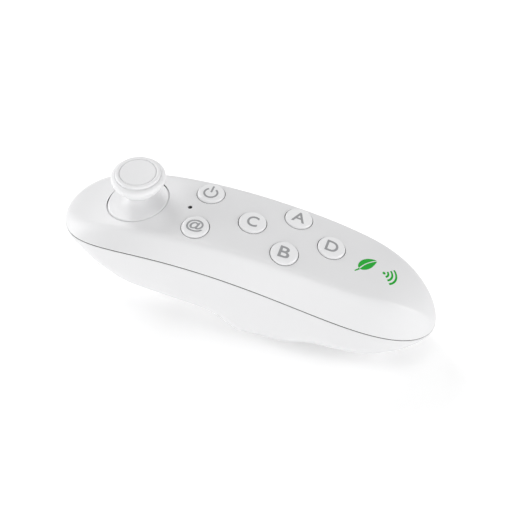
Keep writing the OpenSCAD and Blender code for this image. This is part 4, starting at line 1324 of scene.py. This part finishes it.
class CONTROLLER_OT_stage(Maker, bpy.types.Operator):
    """Lays the pale floor and sets the camera and the studio lights"""
    bl_idname = "controller.stage"
    bl_label = "Stage"

    def make(self, scene, shape):
        floor = bpy.data.meshes.new("floor")
        s = FLOOR_HALF
        floor.from_pydata([(-s, -s, 0), (s, -s, 0), (s, s, 0), (-s, s, 0)], [], [(0, 1, 2, 3)])
        ground = bpy.data.objects.new("floor", floor)
        bpy.context.collection.objects.link(ground)
        # matt translucent card, softly lit from below
        floor.materials.append(finish("Matt card white", pair(scene.controller_finish.floor, .004),
                                      (.9, .95), 2.0,
                                      .001, spread=300, Emission_Color=(1, 1, 1, 1),
                                      Emission_Strength=FLOOR_GLOW))

        camera = bpy.data.objects.new("camera", bpy.data.cameras.new("camera"))
        bpy.context.collection.objects.link(camera)
        camera.data.sensor_width, camera.data.lens = SENSOR, LENS
        camera.data.clip_start, camera.data.clip_end = 0.01, 20
        camera.matrix_world = Matrix.Translation(CAMERA_PLACE) @ Matrix(CAMERA_AXES).to_4x4()
        scene.camera = camera

        def light(name, turn, height, size, power):
            """A square softbox; turn runs from the near side towards the right."""
            lamp = bpy.data.lights.new(name, "AREA")
            lamp.shape, lamp.size, lamp.size_y, lamp.energy = "RECTANGLE", size, size, power
            obj = bpy.data.objects.new(name, lamp)
            bpy.context.collection.objects.link(obj)
            turn, height = math.radians(turn), math.radians(height)
            obj.location = (LIGHT_AWAY * math.sin(turn) * math.cos(height),
                            -LIGHT_AWAY * math.cos(turn) * math.cos(height), LIGHT_AWAY * math.sin(height))
            obj.rotation_euler = (obj.location - Vector((0, 0, .02))).to_track_quat("Z", "Y").to_euler()

        for softbox in SOFTBOXES:
            light(*softbox)

        world = bpy.data.worlds.new("studio")
        scene.world = world
        world.use_nodes = True
        world.node_tree.nodes["Background"].inputs["Color"].default_value = (1, 1, 1, 1)
        world.node_tree.nodes["Background"].inputs["Strength"].default_value = WORLD_STRENGTH
        scene.view_settings.view_transform = "Standard"


STEPS = (CONTROLLER_OT_upper_shell, CONTROLLER_OT_lower_shell, CONTROLLER_OT_seam_shade_liner,
         CONTROLLER_OT_battery_door, CONTROLLER_OT_triggers, CONTROLLER_OT_keys, CONTROLLER_OT_key_print,
         CONTROLLER_OT_window, CONTROLLER_OT_thumb_stick, CONTROLLER_OT_green_print, CONTROLLER_OT_screws,
         CONTROLLER_OT_contact_spring, CONTROLLER_OT_inner_parts, CONTROLLER_OT_stage)


class CONTROLLER_PT_panel(bpy.types.Panel):
    """Lists the controller's pieces and sizes"""
    bl_idname = "CONTROLLER_PT_panel"
    bl_label = "Controller"
    bl_space_type = "VIEW_3D"
    bl_region_type = "UI"
    bl_category = "Controller"

    def draw(self, context):
        for step in STEPS:
            self.layout.operator(step.bl_idname)
        for group, kind in GROUPS.items():
            box = self.layout.box()
            for name in kind.__annotations__:
                box.prop(getattr(context.scene, group), name)


def register():
    for kind in (*GROUPS.values(), *STEPS, CONTROLLER_PT_panel):
        bpy.utils.register_class(kind)
    for group, kind in GROUPS.items():
        setattr(bpy.types.Scene, group, PointerProperty(type=kind))


def unregister():
    for group in GROUPS:
        delattr(bpy.types.Scene, group)
    for kind in reversed((*GROUPS.values(), *STEPS, CONTROLLER_PT_panel)):
        bpy.utils.unregister_class(kind)


def main():
    register()
    for step in STEPS:
        group, name = step.bl_idname.split(".")
        getattr(getattr(bpy.ops, group), name)()


if __name__ == "__main__":
    main()
